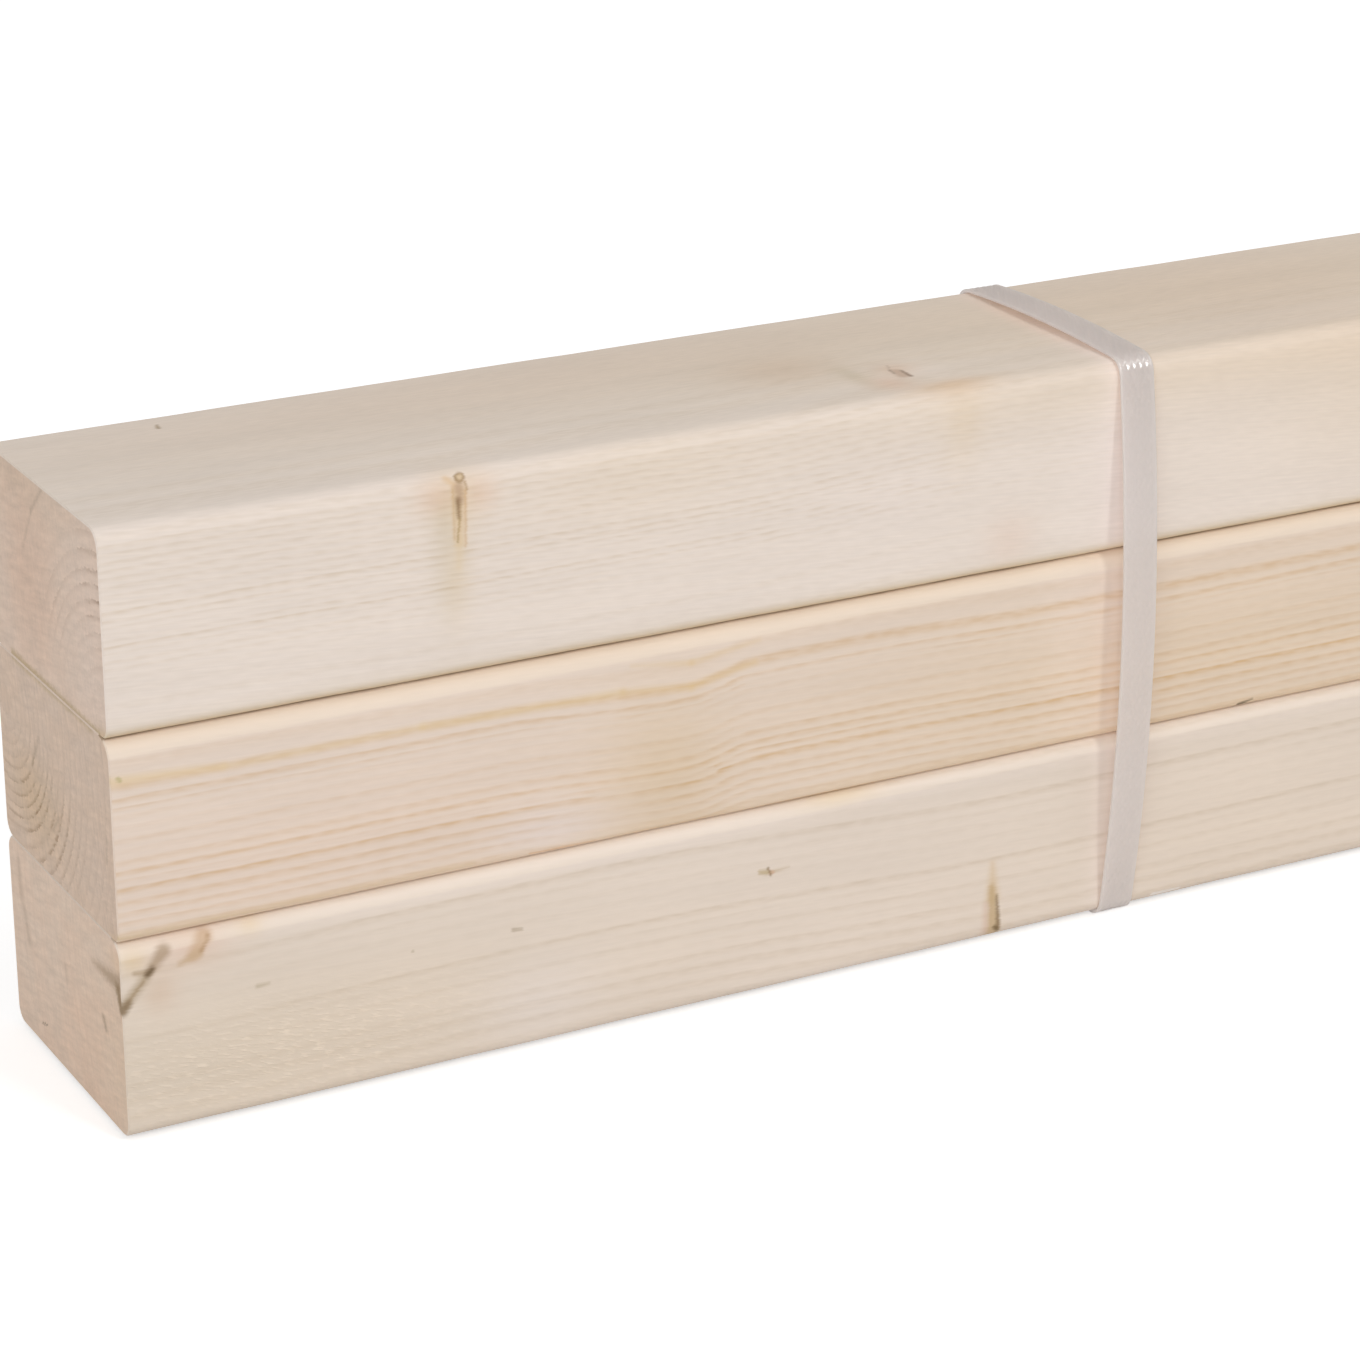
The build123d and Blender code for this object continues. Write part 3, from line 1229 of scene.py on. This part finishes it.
def bottom_batten() -> Batten:
    """The lowest batten: a bark pocket at its corner and a spike knot at its lower edge."""
    pocket = (
        # Painted light at the seam: a pale cream band on the upper front rounding is a painted highlight, and
        # the brown line deep on the upper rounding under the middle batten is painted shade.
        Streak((0.0, 0.0, 38.9), (2000.0, 0.0, 38.9), 2.0, 2.0, 0.8, "#F2E3D0", 0.4),
        Streak((0.0, 3.3, 40.0), (2000.0, 3.3, 40.0), 0.9, 0.9, 0.8, "#9A7E55", 0.45),
        Streak((0.8, 0.0, 28.0), (5.2, 0.0, 32.8), 1.0, 0.8, 2.2, "#AB9576", 0.75),
        Streak((5.9, 0.0, 33.8), (8.6, 0.0, 37.0), 0.9, 1.4, 2.0, "#AF967C", 0.8),
        Streak((2.8, 0.0, 33.7), (5.4, 0.0, 33.3), 0.4, 0.7, 1.2, "#AE977B", 0.7),
        Streak((1.4, 0.0, 28.4), (4.4, 0.0, 31.8), 0.25, 0.2, 0.9, "#9C8467", 0.6),
        Streak((5.3, 0.0, 33.0), (6.1, 0.0, 33.8), 0.65, 0.6, 1.3, "#6E5940", 0.9),
        Streak((0.0, 0.0, 26.8), (1.2, 0.0, 28.0), 1.2, 0.7, 1.6, "#8A7458", 0.9),
    )
    beside_pocket = (
        Streak((16.8, 0.6, 38.2), (14.4, 0.0, 35.0), 1.5, 1.2, 2.2, "#D0B090", 0.8),
        Streak((15.4, 0.0, 35.0), (11.8, 0.0, 33.8), 0.9, 0.4, 1.6, "#C8AC8C", 0.8),
        Streak((17.6, 0.6, 38.0), (16.0, 0.0, 35.4), 0.4, 0.4, 1.1, "#B5926F", 0.75),
        Streak((26.8, 0.0, 25.8), (29.2, 0.0, 25.9), 0.3, 0.1, 1.1, "#B3A488", 0.65),
    )
    pin_knot = (
        Streak((134.4, 0.0, 26.4), (136.0, 0.0, 26.1), 0.45, 0.6, 0.9, "#BFAA85", 0.8),
        Streak((137.2, 0.0, 26.0), (141.0, 0.0, 26.3), 0.4, 0.1, 0.8, "#CBB79C", 0.75),
        Streak((136.9, 0.0, 25.9), (137.3, 0.0, 25.8), 0.5, 0.4, 0.7, "#CDA88C", 0.7),
        Streak((136.2, 0.0, 26.9), (136.9, 0.0, 25.3), 0.22, 0.2, 0.8, "#8F7554", 0.9),
    )
    spike = (
        Streak((189.0, 0.0, 17.0), (189.3, 0.0, 9.5), 0.3, 1.5, 2.6, "#D6BC98", 0.7),
        Streak((189.1, 0.0, 11.5), (189.7, 0.0, 1.0), 0.7, 1.7, 1.8, "#C3A881", 0.85),
        Streak((187.6, 0.0, 8.0), (187.6, 0.0, 1.0), 0.4, 0.7, 2.0, "#D4B4A0", 0.55),
        Streak((190.3, 0.0, 9.5), (190.9, 0.0, 0.8), 0.2, 0.5, 1.3, "#7C6440", 0.85),
        Streak((190.0, 0.0, 2.4), (190.8, 0.0, 1.4), 0.5, 0.5, 0.9, "#6B5530", 0.7),
    )
    specks = (
        Streak((80.0, 0.0, 25.7), (81.8, 0.0, 25.5), 0.3, 0.2, 1.0, "#AC9A82", 0.75),
        Streak((58.6, 0.0, 25.9), (58.9, 0.0, 25.8), 0.2, 0.15, 0.5, "#B9AA90", 0.7),
        Streak((229.6, 0.5, 1.2), (236.0, 0.5, 1.3), 0.5, 0.3, 0.7, "#F3ECE5", 0.8),
    )
    end_streaks = (
        Streak((0.0, 0.6, 31.8), (0.0, 15.0, 30.8), 2.0, 0.1, 2.6, "#AE967D", 0.75),
        Streak((0.0, 0.3, 26.8), (0.0, 1.8, 30.6), 1.3, 1.0, 1.9, "#937B5D", 0.85),
        Streak((0.0, 43.2, 5.4), (0.0, 46.0, 4.5), 0.25, 0.1, 0.6, "#85715F", 0.8),
        Streak((0.0, 10.4, 21.0), (0.0, 9.4, 19.2), 0.6, 0.6, 2.0, "#9B8873", 0.65),
        Streak((0.0, 54.5, 36.0), (0.0, 54.0, 29.0), 0.5, 0.7, 3.4, "#AA9583", 0.45),
        Streak((0.0, 53.0, 27.0), (0.0, 51.0, 20.5), 0.4, 0.8, 3.4, "#A8937F", 0.45),
        Streak((0.0, 30.5, 23.5), (0.0, 30.0, 20.5), 0.4, 0.4, 3.0, "#B09B88", 0.35),
    )
    return Batten(
        node="batten_bottom",
        rings=GrowthRings(
            pith=(-60.0, -50.0), spacing=2.6, wander=0.2, seed=31,
            bends=(Bend(10.0, 58.0, 1.0), Bend(95.0, 200.0, -3.4)),
            front_lines=((1.6, 0.3), (4.8, 0.45), (8.1, 0.45), (11.2, 0.5), (13.4, 0.1), (15.7, 0.4),
                         (18.2, 0.1), (20.4, 0.65), (23.0, 0.1), (25.6, 0.15), (28.4, 0.2), (31.0, 0.15),
                         (33.8, 0.6), (36.4, 0.1), (39.0, 0.2))),
        end_rings=GrowthRings(pith=(-28.0, 33.0), spacing=4.0, wander=0.0, seed=34),
        planed=PlanedSpruce("planed spruce, bottom batten", "#E4D6C9", "#D1BFAB", torn=0.1, fibre_shade=0.06,
                            dash_shade=0.035),
        sawn=SawnSpruce("sawn spruce end, bottom batten", "#E7D1BE", "#B89C87", "#E3C8B3"),
        top_front=3.4, low_front=2.8, top_back=3.0, low_back=3.0,
        clear=0.8, end_clear=0.12, seed=41,
        clear_spots=(Spot((20.0, 0.0, 14.0), (50.0, 20.0, 16.0), -0.5),),
        torn_spots=(Spot((28.0, 0.0, 11.0), (36.0, 8.0, 9.0), 1.1),
                    Spot((10.0, 60.0, 20.0), (70.0, 8.0, 14.0), 0.8)),
        end_stains=(StainAndPaintedLight(Tone.UMBER, Spot((0.0, 8.0, 12.0), (10.0, 14.0, 14.0), -0.3)),
                    StainAndPaintedLight(Tone.ROSY, Spot((0.0, 20.0, 12.0), (10.0, 16.0, 12.0), 0.25))),
        stains=(
            PAINTED_LIGHT_AT_STRAP,
            StainAndPaintedLight(Tone.UMBER, Spot((12.0, 0.0, 12.0), (62.0, 20.0, 20.0), 0.4)),
            StainAndPaintedLight(Tone.AMBER, Spot((40.0, 0.0, 12.0), (80.0, 20.0, 16.0), 0.15)),
            StainAndPaintedLight(Tone.AMBER, Spot((250.0, 0.0, 14.0), (70.0, 20.0, 30.0), 0.12)),
            StainAndPaintedLight(Tone.AMBER, Spot((85.0, 0.0, 10.0), (14.0, 10.0, 9.0), -0.25)),
            # Painted highlight: the upper front rounding lightened along the whole batten.
            StainAndPaintedLight(Tone.UMBER, Spot((1000.0, 0.4, 38.6), (2000.0, 4.0, 2.0), -0.9)),
            StainAndPaintedLight(Tone.ROSY, Spot((14.0, 1.0, 37.0), (8.0, 5.0, 4.5), 0.8)),
            StainAndPaintedLight(Tone.ROSY, Spot((7.5, 0.0, 29.0), (3.5, 5.0, 4.0), 0.5)),
            StainAndPaintedLight(Tone.UMBER, Spot((6.5, 0.0, 29.5), (3.5, 5.0, 4.0), 0.25)),
            StainAndPaintedLight(Tone.AMBER, Spot((2.5, 0.0, 36.5), (3.0, 5.0, 2.5), 0.7)),
            StainAndPaintedLight(Tone.AMBER, Spot((26.0, 0.6, 38.5), (2.4, 4.0, 1.6), 0.7)),
            StainAndPaintedLight(Tone.AMBER, Spot((153.0, 0.6, 39.0), (9.0, 4.0, 1.6), 0.8)),
        ),
        streaks=(*pocket, *beside_pocket, *pin_knot, *spike, *specks),
        end_streaks=end_streaks,
        knots=(Knot((560.0, 0.0, 22.0), 5.0), Knot((905.0, 60.0, 14.0), 6.0), Knot((1310.0, 30.0, 0.0), 5.0),
               Knot((1725.0, 0.0, 12.0), 4.0)),
    )


def middle_batten() -> Batten:
    """The middle batten: yellow lines that dip past a hidden knot, and the pith near its end's back."""
    streaks = (
        # Painted highlight: a pale cream band on the upper front rounding; then painted shade: a brown line
        # deep in the seam under the top batten.
        Streak((0.0, 0.0, 38.8), (2000.0, 0.0, 38.8), 2.2, 2.2, 0.7, "#F4E4D0", 0.4),
        Streak((0.0, 3.7, 40.0), (2000.0, 3.7, 40.0), 1.1, 1.1, 0.8, "#8A6C42", 0.7),
        Streak((0.0, 0.0, 32.4), (22.0, 0.0, 31.2), 0.9, 0.6, 2.2, "#E3C99F", 0.6),
        Streak((22.0, 0.0, 31.2), (62.0, 0.0, 31.3), 0.5, 0.5, 1.8, "#E2CAA2", 0.45),
        Streak((62.0, 0.0, 31.3), (104.0, 0.0, 30.4), 0.6, 0.7, 2.0, "#E0C699", 0.55),
        Streak((104.0, 0.0, 30.4), (119.0, 0.0, 28.9), 0.6, 0.6, 1.9, "#DDC091", 0.55),
        Streak((119.0, 0.0, 28.9), (133.0, 0.0, 31.4), 0.6, 0.5, 1.9, "#DDC091", 0.55),
        Streak((106.0, 0.0, 35.4), (119.0, 0.0, 33.8), 0.1, 0.5, 1.8, "#DEC295", 0.5),
        Streak((119.0, 0.0, 33.8), (134.0, 0.0, 35.8), 0.5, 0.2, 1.8, "#DEC295", 0.5),
        Streak((0.0, 0.6, 1.4), (72.0, 0.6, 1.5), 0.5, 0.3, 1.3, "#CDB283", 0.7),
        Streak((84.0, 0.3, 0.9), (98.0, 0.3, 0.6), 0.3, 0.2, 0.7, "#D9A877", 0.6),
        Streak((1.6, 0.0, 32.7), (2.0, 0.0, 32.3), 0.4, 0.35, 0.8, "#B9AE7C", 0.7),
        Streak((249.4, 0.6, 0.6), (252.4, 0.4, 1.4), 0.6, 0.35, 0.7, "#6F5F47", 0.95),
    )
    end_streaks = (
        # Painted shade: a dark olive line along the top edge of the sawn end, in the seam under the top
        # batten.
        Streak((0.0, 8.0, 39.8), (0.0, 50.0, 39.8), 0.5, 0.5, 1.8, "#B7A172", 0.6),
        Streak((0.0, 38.0, 27.5), (0.0, 42.5, 20.5), 0.3, 0.4, 1.8, "#A08C76", 0.5),
        Streak((0.0, 29.0, 14.5), (0.0, 33.0, 10.5), 0.4, 0.3, 1.8, "#9C8871", 0.45),
        Streak((0.0, 3.2, 20.0), (0.0, 3.8, 15.0), 0.2, 0.3, 1.4, "#A3907C", 0.45),
    )
    return Batten(
        node="batten_middle",
        rings=GrowthRings(
            pith=(46.0, -30.0), spacing=2.6, wander=0.15, seed=17,
            bends=(Bend(78.0, 118.0, -2.0), Bend(119.0, 133.0, 2.4), Bend(160.0, 200.0, -0.7)),
            front_lines=((2.1, 0.35), (4.0, 0.35), (6.0, 0.45), (7.8, 0.38), (11.1, 0.95),
                         (12.3, 0.1), (14.1, 0.65), (16.3, 0.5), (18.4, 0.1), (20.4, 0.3), (23.0, 0.1),
                         (25.4, 0.2), (26.8, 0.05), (28.1, 0.5), (31.2, 0.65), (35.6, 0.2), (39.4, 0.05))),
        end_rings=GrowthRings(pith=(56.0, 29.0), spacing=2.9, wander=0.0, faintest=0.4, seed=19),
        planed=PlanedSpruce("planed spruce, middle batten", "#E5D4C6", "#D6B58E", fibre_shade=0.08),
        sawn=SawnSpruce("sawn spruce end, middle batten", "#DEC8B6", "#A68C75", "#DBC2AD", tear_shade=0.25),
        top_front=4.0, low_front=1.8, top_back=3.0, low_back=3.0,
        clear=0.85, end_clear=0.13, seed=51,
        clear_spots=(Spot((100.0, 0.0, 4.0), (16.0, 10.0, 9.0), -0.6),),
        end_clear_spots=(Spot((0.0, 40.0, 10.0), (20.0, 19.0, 11.0), 0.9),),
        end_stains=(StainAndPaintedLight(Tone.AMBER, Spot((0.0, 42.0, 13.0), (10.0, 14.0, 9.0), 0.4)),
                    StainAndPaintedLight(Tone.UMBER, Spot((0.0, 42.0, 13.0), (10.0, 14.0, 9.0), 0.2))),
        stains=(
            PAINTED_LIGHT_AT_STRAP,
            StainAndPaintedLight(Tone.AMBER, Spot((112.0, 0.0, 12.0), (14.0, 10.0, 15.0), 0.3)),
            StainAndPaintedLight(Tone.UMBER, Spot((114.0, 0.0, 12.0), (12.0, 10.0, 14.0), 0.35)),
            StainAndPaintedLight(Tone.AMBER, Spot((88.0, 0.0, 5.0), (12.0, 8.0, 6.0), -0.3)),
            StainAndPaintedLight(Tone.AMBER, Spot((240.0, 0.0, 14.0), (110.0, 30.0, 22.0), 0.36)),
            StainAndPaintedLight(Tone.UMBER, Spot((240.0, 0.0, 14.0), (110.0, 30.0, 22.0), 0.15)),
            StainAndPaintedLight(Tone.ROSY, Spot((40.0, 0.0, 10.0), (60.0, 10.0, 14.0), 0.2)),
            # Painted light: the wood just left of the near strap lightened, where light from the band falls
            # on it.
            StainAndPaintedLight(Tone.UMBER, Spot((209.0, 0.0, 20.0), (9.0, 8.0, 26.0), -0.5)),
            # Painted shade: the lower front edge warmed and darkened along the whole batten, in the seam over
            # the bottom batten.
            StainAndPaintedLight(Tone.AMBER, Spot((1000.0, 1.0, 0.0), (2000.0, 3.0, 1.8), 0.6)),
            # Painted highlight: the upper front rounding lightened and tinted cream along the whole batten.
            StainAndPaintedLight(Tone.UMBER, Spot((1000.0, 0.0, 39.2), (2000.0, 4.0, 2.2), -0.6)),
            StainAndPaintedLight(Tone.AMBER, Spot((1000.0, 0.0, 39.6), (2000.0, 4.0, 2.4), 0.4)),
        ),
        streaks=streaks,
        end_streaks=end_streaks,
        knots=(Knot((480.0, 34.0, 40.0), 4.0), Knot((820.0, 0.0, 16.0), 5.0), Knot((1220.0, 60.0, 24.0), 5.0),
               Knot((1660.0, 0.0, 25.0), 6.0)),
        knot_heart=(46.0, 10.0),
    )


def top_batten() -> Batten:
    """The highest batten: a spike knot over its edge and a small knot in its top face."""
    spike = (
        Streak((70.5, 0.0, 36.6), (70.4, 0.0, 26.4), 1.2, 0.8, 2.2, "#DDC199", 0.75),
        Streak((70.4, 0.0, 26.5), (70.2, 0.0, 21.5), 0.8, 0.3, 2.6, "#E0CAA9", 0.6),
        Streak((70.4, 0.0, 37.2), (70.8, 0.0, 34.4), 1.0, 0.7, 1.6, "#BC9E84", 0.75),
        Streak((69.2, 0.0, 37.0), (69.4, 0.0, 27.2), 0.15, 0.1, 1.0, "#C7A372", 0.6),
        Streak((71.8, 0.0, 36.2), (71.6, 0.0, 25.4), 0.15, 0.1, 1.0, "#CDA26C", 0.65),
        Streak((70.2, 0.0, 34.6), (70.4, 0.0, 31.4), 0.45, 0.3, 1.4, "#866745", 0.9),
        Streak((70.5, 0.0, 31.0), (70.0, 0.0, 26.6), 0.15, 0.15, 0.8, "#A4885C", 0.8),
        Streak((70.9, 0.7, 38.8), (71.2, 0.8, 39.0), 1.05, 1.0, 0.7, "#A2845E", 0.85),
        Streak((71.0, 0.7, 38.9), (71.3, 0.8, 39.1), 0.6, 0.55, 0.6, "#DCC4A2", 0.9),
        Streak((68.2, 0.8, 39.0), (69.4, 0.4, 37.8), 0.5, 0.4, 1.6, "#DDB98A", 0.6),
        Streak((71.9, 0.4, 37.8), (72.1, 0.0, 36.4), 0.25, 0.18, 0.8, "#B08F69", 0.75),
    )
    top_knot = (
        Streak((173.4, 13.2, 40.0), (173.8, 16.4, 40.0), 1.3, 1.0, 1.8, "#BFA189", 0.7),
        Streak((174.7, 16.0, 40.0), (174.5, 12.2, 40.0), 0.3, 0.45, 1.0, "#8C735D", 0.85),
        Streak((172.5, 15.0, 40.0), (172.8, 17.2, 40.0), 0.2, 0.3, 1.0, "#957D69", 0.7),
        Streak((172.8, 17.0, 40.0), (174.0, 20.4, 40.0), 0.15, 0.1, 1.2, "#A28C78", 0.5),
    )
    specks = (Streak((31.7, 51.0, 40.0), (32.3, 53.0, 40.0), 0.45, 0.2, 0.9, "#9C8464", 0.8),)
    end_streaks = (
        # Painted shade: a dark olive line along the lower edge of the sawn end, in the seam over the middle
        # batten.
        Streak((0.0, 4.0, 0.4), (0.0, 50.0, 0.6), 0.5, 0.6, 1.8, "#AB9563", 0.65),
        Streak((0.0, 28.0, 39.6), (0.0, 34.5, 33.5), 0.25, 0.2, 1.8, "#A5917D", 0.55),
        Streak((0.0, 34.5, 33.5), (0.0, 40.0, 25.0), 0.2, 0.1, 1.8, "#A99481", 0.45),
    )
    return Batten(
        node="batten_top",
        rings=GrowthRings(
            pith=(-3.0, -4.0), spacing=3.2, wander=0.2, faintest=0.15, strongest=0.5, seed=23,
            bends=(Bend(60.0, 105.0, 0.5), Bend(122.0, 192.0, 3.4)),
            front_lines=((4.0, 0.1), (6.6, 0.25), (9.4, 0.1), (12.0, 0.15), (13.6, 0.1), (15.2, 0.5),
                         (16.6, 0.1), (17.9, 0.75), (19.2, 0.1), (20.4, 0.5), (21.6, 0.15), (22.8, 0.55),
                         (24.5, 0.7), (25.9, 0.2), (27.4, 0.4), (29.1, 0.48), (30.8, 0.4), (32.2, 0.42),
                         (33.8, 0.4), (35.3, 0.48), (36.8, 0.45), (38.3, 0.3))),
        end_rings=GrowthRings(pith=(-3.0, -2.0), spacing=3.0, wander=0.0, faintest=0.5, seed=29),
        planed=PlanedSpruce("planed spruce, top batten", "#E8DBD0", "#DBC9B5", grain_slope=5.0,
                            dash_shade=0.06, break_up=0.5),
        sawn=SawnSpruce("sawn spruce end, top batten", "#E4CFBE", "#AD937F", "#E0C7B4"),
        top_front=3.6, low_front=2.8, top_back=3.0, low_back=3.0,
        clear=0.85, end_clear=0.05, seed=61,
        clear_spots=(Spot((250.0, 0.0, 24.0), (75.0, 14.0, 40.0), -0.75),
                     Spot((1000.0, 50.0, 40.0), (2000.0, 28.0, 20.0), -0.9)),
        end_clear_spots=(Spot((0.0, 0.0, 27.0), (20.0, 11.0, 13.0), 0.9),
                         Spot((0.0, 22.0, 20.0), (20.0, 6.0, 8.0), 0.3)),
        end_stains=(StainAndPaintedLight(Tone.UMBER, Spot((0.0, 3.0, 20.0), (10.0, 14.0, 26.0), -0.3)),
                    StainAndPaintedLight(Tone.ROSY, Spot((0.0, 38.0, 19.0), (10.0, 13.0, 17.0), 0.6))),
        worn_spots=(Spot((182.0, 0.0, 40.0), (14.0, 8.0, 8.0), 1.4),),
        stains=(
            PAINTED_LIGHT_AT_STRAP,
            # Painted light: the top face under the strap's top run lightened and tinted rosy, where light
            # through the band lifts its shadow.
            StainAndPaintedLight(Tone.UMBER, Spot((215.0, 30.0, 40.0), (3.0, 40.0, 8.0), -0.5)),
            StainAndPaintedLight(Tone.ROSY, Spot((215.0, 34.0, 40.0), (3.0, 26.0, 6.0), 0.4)),
            StainAndPaintedLight(Tone.AMBER, Spot((320.0, 30.0, 40.0), (220.0, 40.0, 9.0), 0.3)),
            StainAndPaintedLight(Tone.ROSY, Spot((270.0, 35.0, 40.0), (60.0, 40.0, 9.0), 0.3)),
            StainAndPaintedLight(Tone.UMBER, Spot((150.0, 50.0, 40.0), (200.0, 26.0, 9.0), 0.35)),
            StainAndPaintedLight(Tone.ROSY, Spot((110.0, 46.0, 40.0), (120.0, 20.0, 9.0), 0.3)),
            StainAndPaintedLight(Tone.UMBER, Spot((154.0, 27.0, 40.0), (13.0, 9.0, 6.0), 0.4)),
            StainAndPaintedLight(Tone.ROSY, Spot((154.0, 27.0, 40.0), (12.0, 9.0, 6.0), 0.4)),
            StainAndPaintedLight(Tone.UMBER, Spot((164.5, 17.0, 40.0), (2.4, 7.0, 5.0), 0.8)),
            StainAndPaintedLight(Tone.ROSY, Spot((168.5, 10.0, 40.0), (4.5, 4.5, 5.0), 0.9)),
            StainAndPaintedLight(Tone.ROSY, Spot((174.0, 18.0, 40.0), (4.0, 4.0, 5.0), 0.6)),
            StainAndPaintedLight(Tone.UMBER, Spot((179.5, 15.0, 40.0), (4.0, 6.0, 4.0), -0.3)),
            StainAndPaintedLight(Tone.AMBER, Spot((179.0, 4.0, 40.0), (9.0, 2.8, 5.0), 0.35)),
            StainAndPaintedLight(Tone.ROSY, Spot((179.0, 4.0, 40.0), (9.0, 2.8, 5.0), 0.6)),
            StainAndPaintedLight(Tone.ROSY, Spot((65.8, 0.0, 35.8), (4.2, 6.0, 3.2), 0.7)),
            StainAndPaintedLight(Tone.ROSY, Spot((75.0, 0.0, 35.4), (3.4, 6.0, 3.4), 0.65)),
            StainAndPaintedLight(Tone.AMBER, Spot((70.0, 0.0, 35.0), (5.0, 6.0, 6.0), 0.4)),
            StainAndPaintedLight(Tone.UMBER, Spot((68.0, 0.0, 22.0), (3.6, 6.0, 10.0), 0.45)),
            StainAndPaintedLight(Tone.UMBER, Spot((67.2, 0.0, 31.5), (2.6, 6.0, 5.0), 0.45)),
            StainAndPaintedLight(Tone.AMBER, Spot((69.5, 0.0, 20.0), (3.0, 6.0, 9.0), 0.3)),
            StainAndPaintedLight(Tone.AMBER, Spot((179.5, 0.0, 32.0), (4.5, 6.0, 8.0), 0.25)),
            StainAndPaintedLight(Tone.ROSY, Spot((191.0, 0.0, 7.0), (6.0, 6.0, 5.0), 0.4)),
            StainAndPaintedLight(Tone.AMBER, Spot((215.0, 0.0, 36.0), (60.0, 6.0, 8.0), 0.15)),
            StainAndPaintedLight(Tone.AMBER, Spot((108.0, 0.0, 33.0), (24.0, 6.0, 9.0), 0.15)),
            StainAndPaintedLight(Tone.UMBER, Spot((163.0, 0.0, 20.0), (14.0, 6.0, 8.0), -0.15)),
            # Painted light: the front just left of the near strap lightened, where light from the band falls
            # on it.
            StainAndPaintedLight(Tone.UMBER, Spot((211.0, 0.0, 20.0), (8.0, 8.0, 24.0), -0.25)),
            StainAndPaintedLight(Tone.AMBER, Spot((290.0, 0.0, 28.0), (50.0, 8.0, 20.0), 0.25)),
            # Painted highlight: the upper front rounding lightened along the whole batten.
            StainAndPaintedLight(Tone.UMBER, Spot((1000.0, 0.4, 39.0), (2000.0, 3.0, 1.8), -0.25)),
            # Painted shade: the top face darkened along the whole batten, as it takes less light than the
            # front.
            StainAndPaintedLight(Tone.UMBER, Spot((1000.0, 32.0, 40.0), (2000.0, 28.0, 6.0), 0.25)),
            # Painted shade: the lower front edge darkened and warmed along the whole batten, in the seam over
            # the middle batten.
            StainAndPaintedLight(Tone.AMBER, Spot((1000.0, 1.2, 0.0), (2000.0, 3.0, 1.8), 0.9)),
            StainAndPaintedLight(Tone.UMBER, Spot((1000.0, 1.2, 0.0), (2000.0, 3.0, 1.7), 0.9)),
        ),
        streaks=(*spike, *top_knot, *specks),
        end_streaks=end_streaks,
        knots=(Knot((430.0, 22.0, 40.0), 4.5), Knot((760.0, 0.0, 24.0), 5.0), Knot((1150.0, 60.0, 20.0), 4.5),
               Knot((1580.0, 38.0, 40.0), 5.5)),
        knot_heart=(20.0, 8.0),
    )


def main() -> None:
    """Builds the studio, the battens and the straps, and reports each piece."""
    logging.basicConfig(level=logging.INFO, format="%(name)s: %(message)s")
    Studio().build()
    ink = streak_group()
    battens = [bottom_batten(), middle_batten(), top_batten()]
    for batten in battens:
        piece = batten.build(ink)
        LOG.info("%s: %d faces", piece.name, len(piece.data.polygons))
    lowest, highest = battens[0], battens[-1]
    stack_height = highest.origin[2] + highest.height - lowest.origin[2]
    stack_middle = (lowest.origin[1] + lowest.width / 2, lowest.origin[2] + stack_height / 2)
    finish = StrapPolypropylene()
    straps = [Strap(node, finish, lowest.width, stack_height, stack_middle)
              for node in ("strap_near", "strap_far")]
    tree = straps[0].band_tree()
    for strap in straps:
        piece = strap.build(tree)
        LOG.info("%s: %d faces", piece.name, len(piece.data.polygons))


if __name__ == "__main__":
    main()
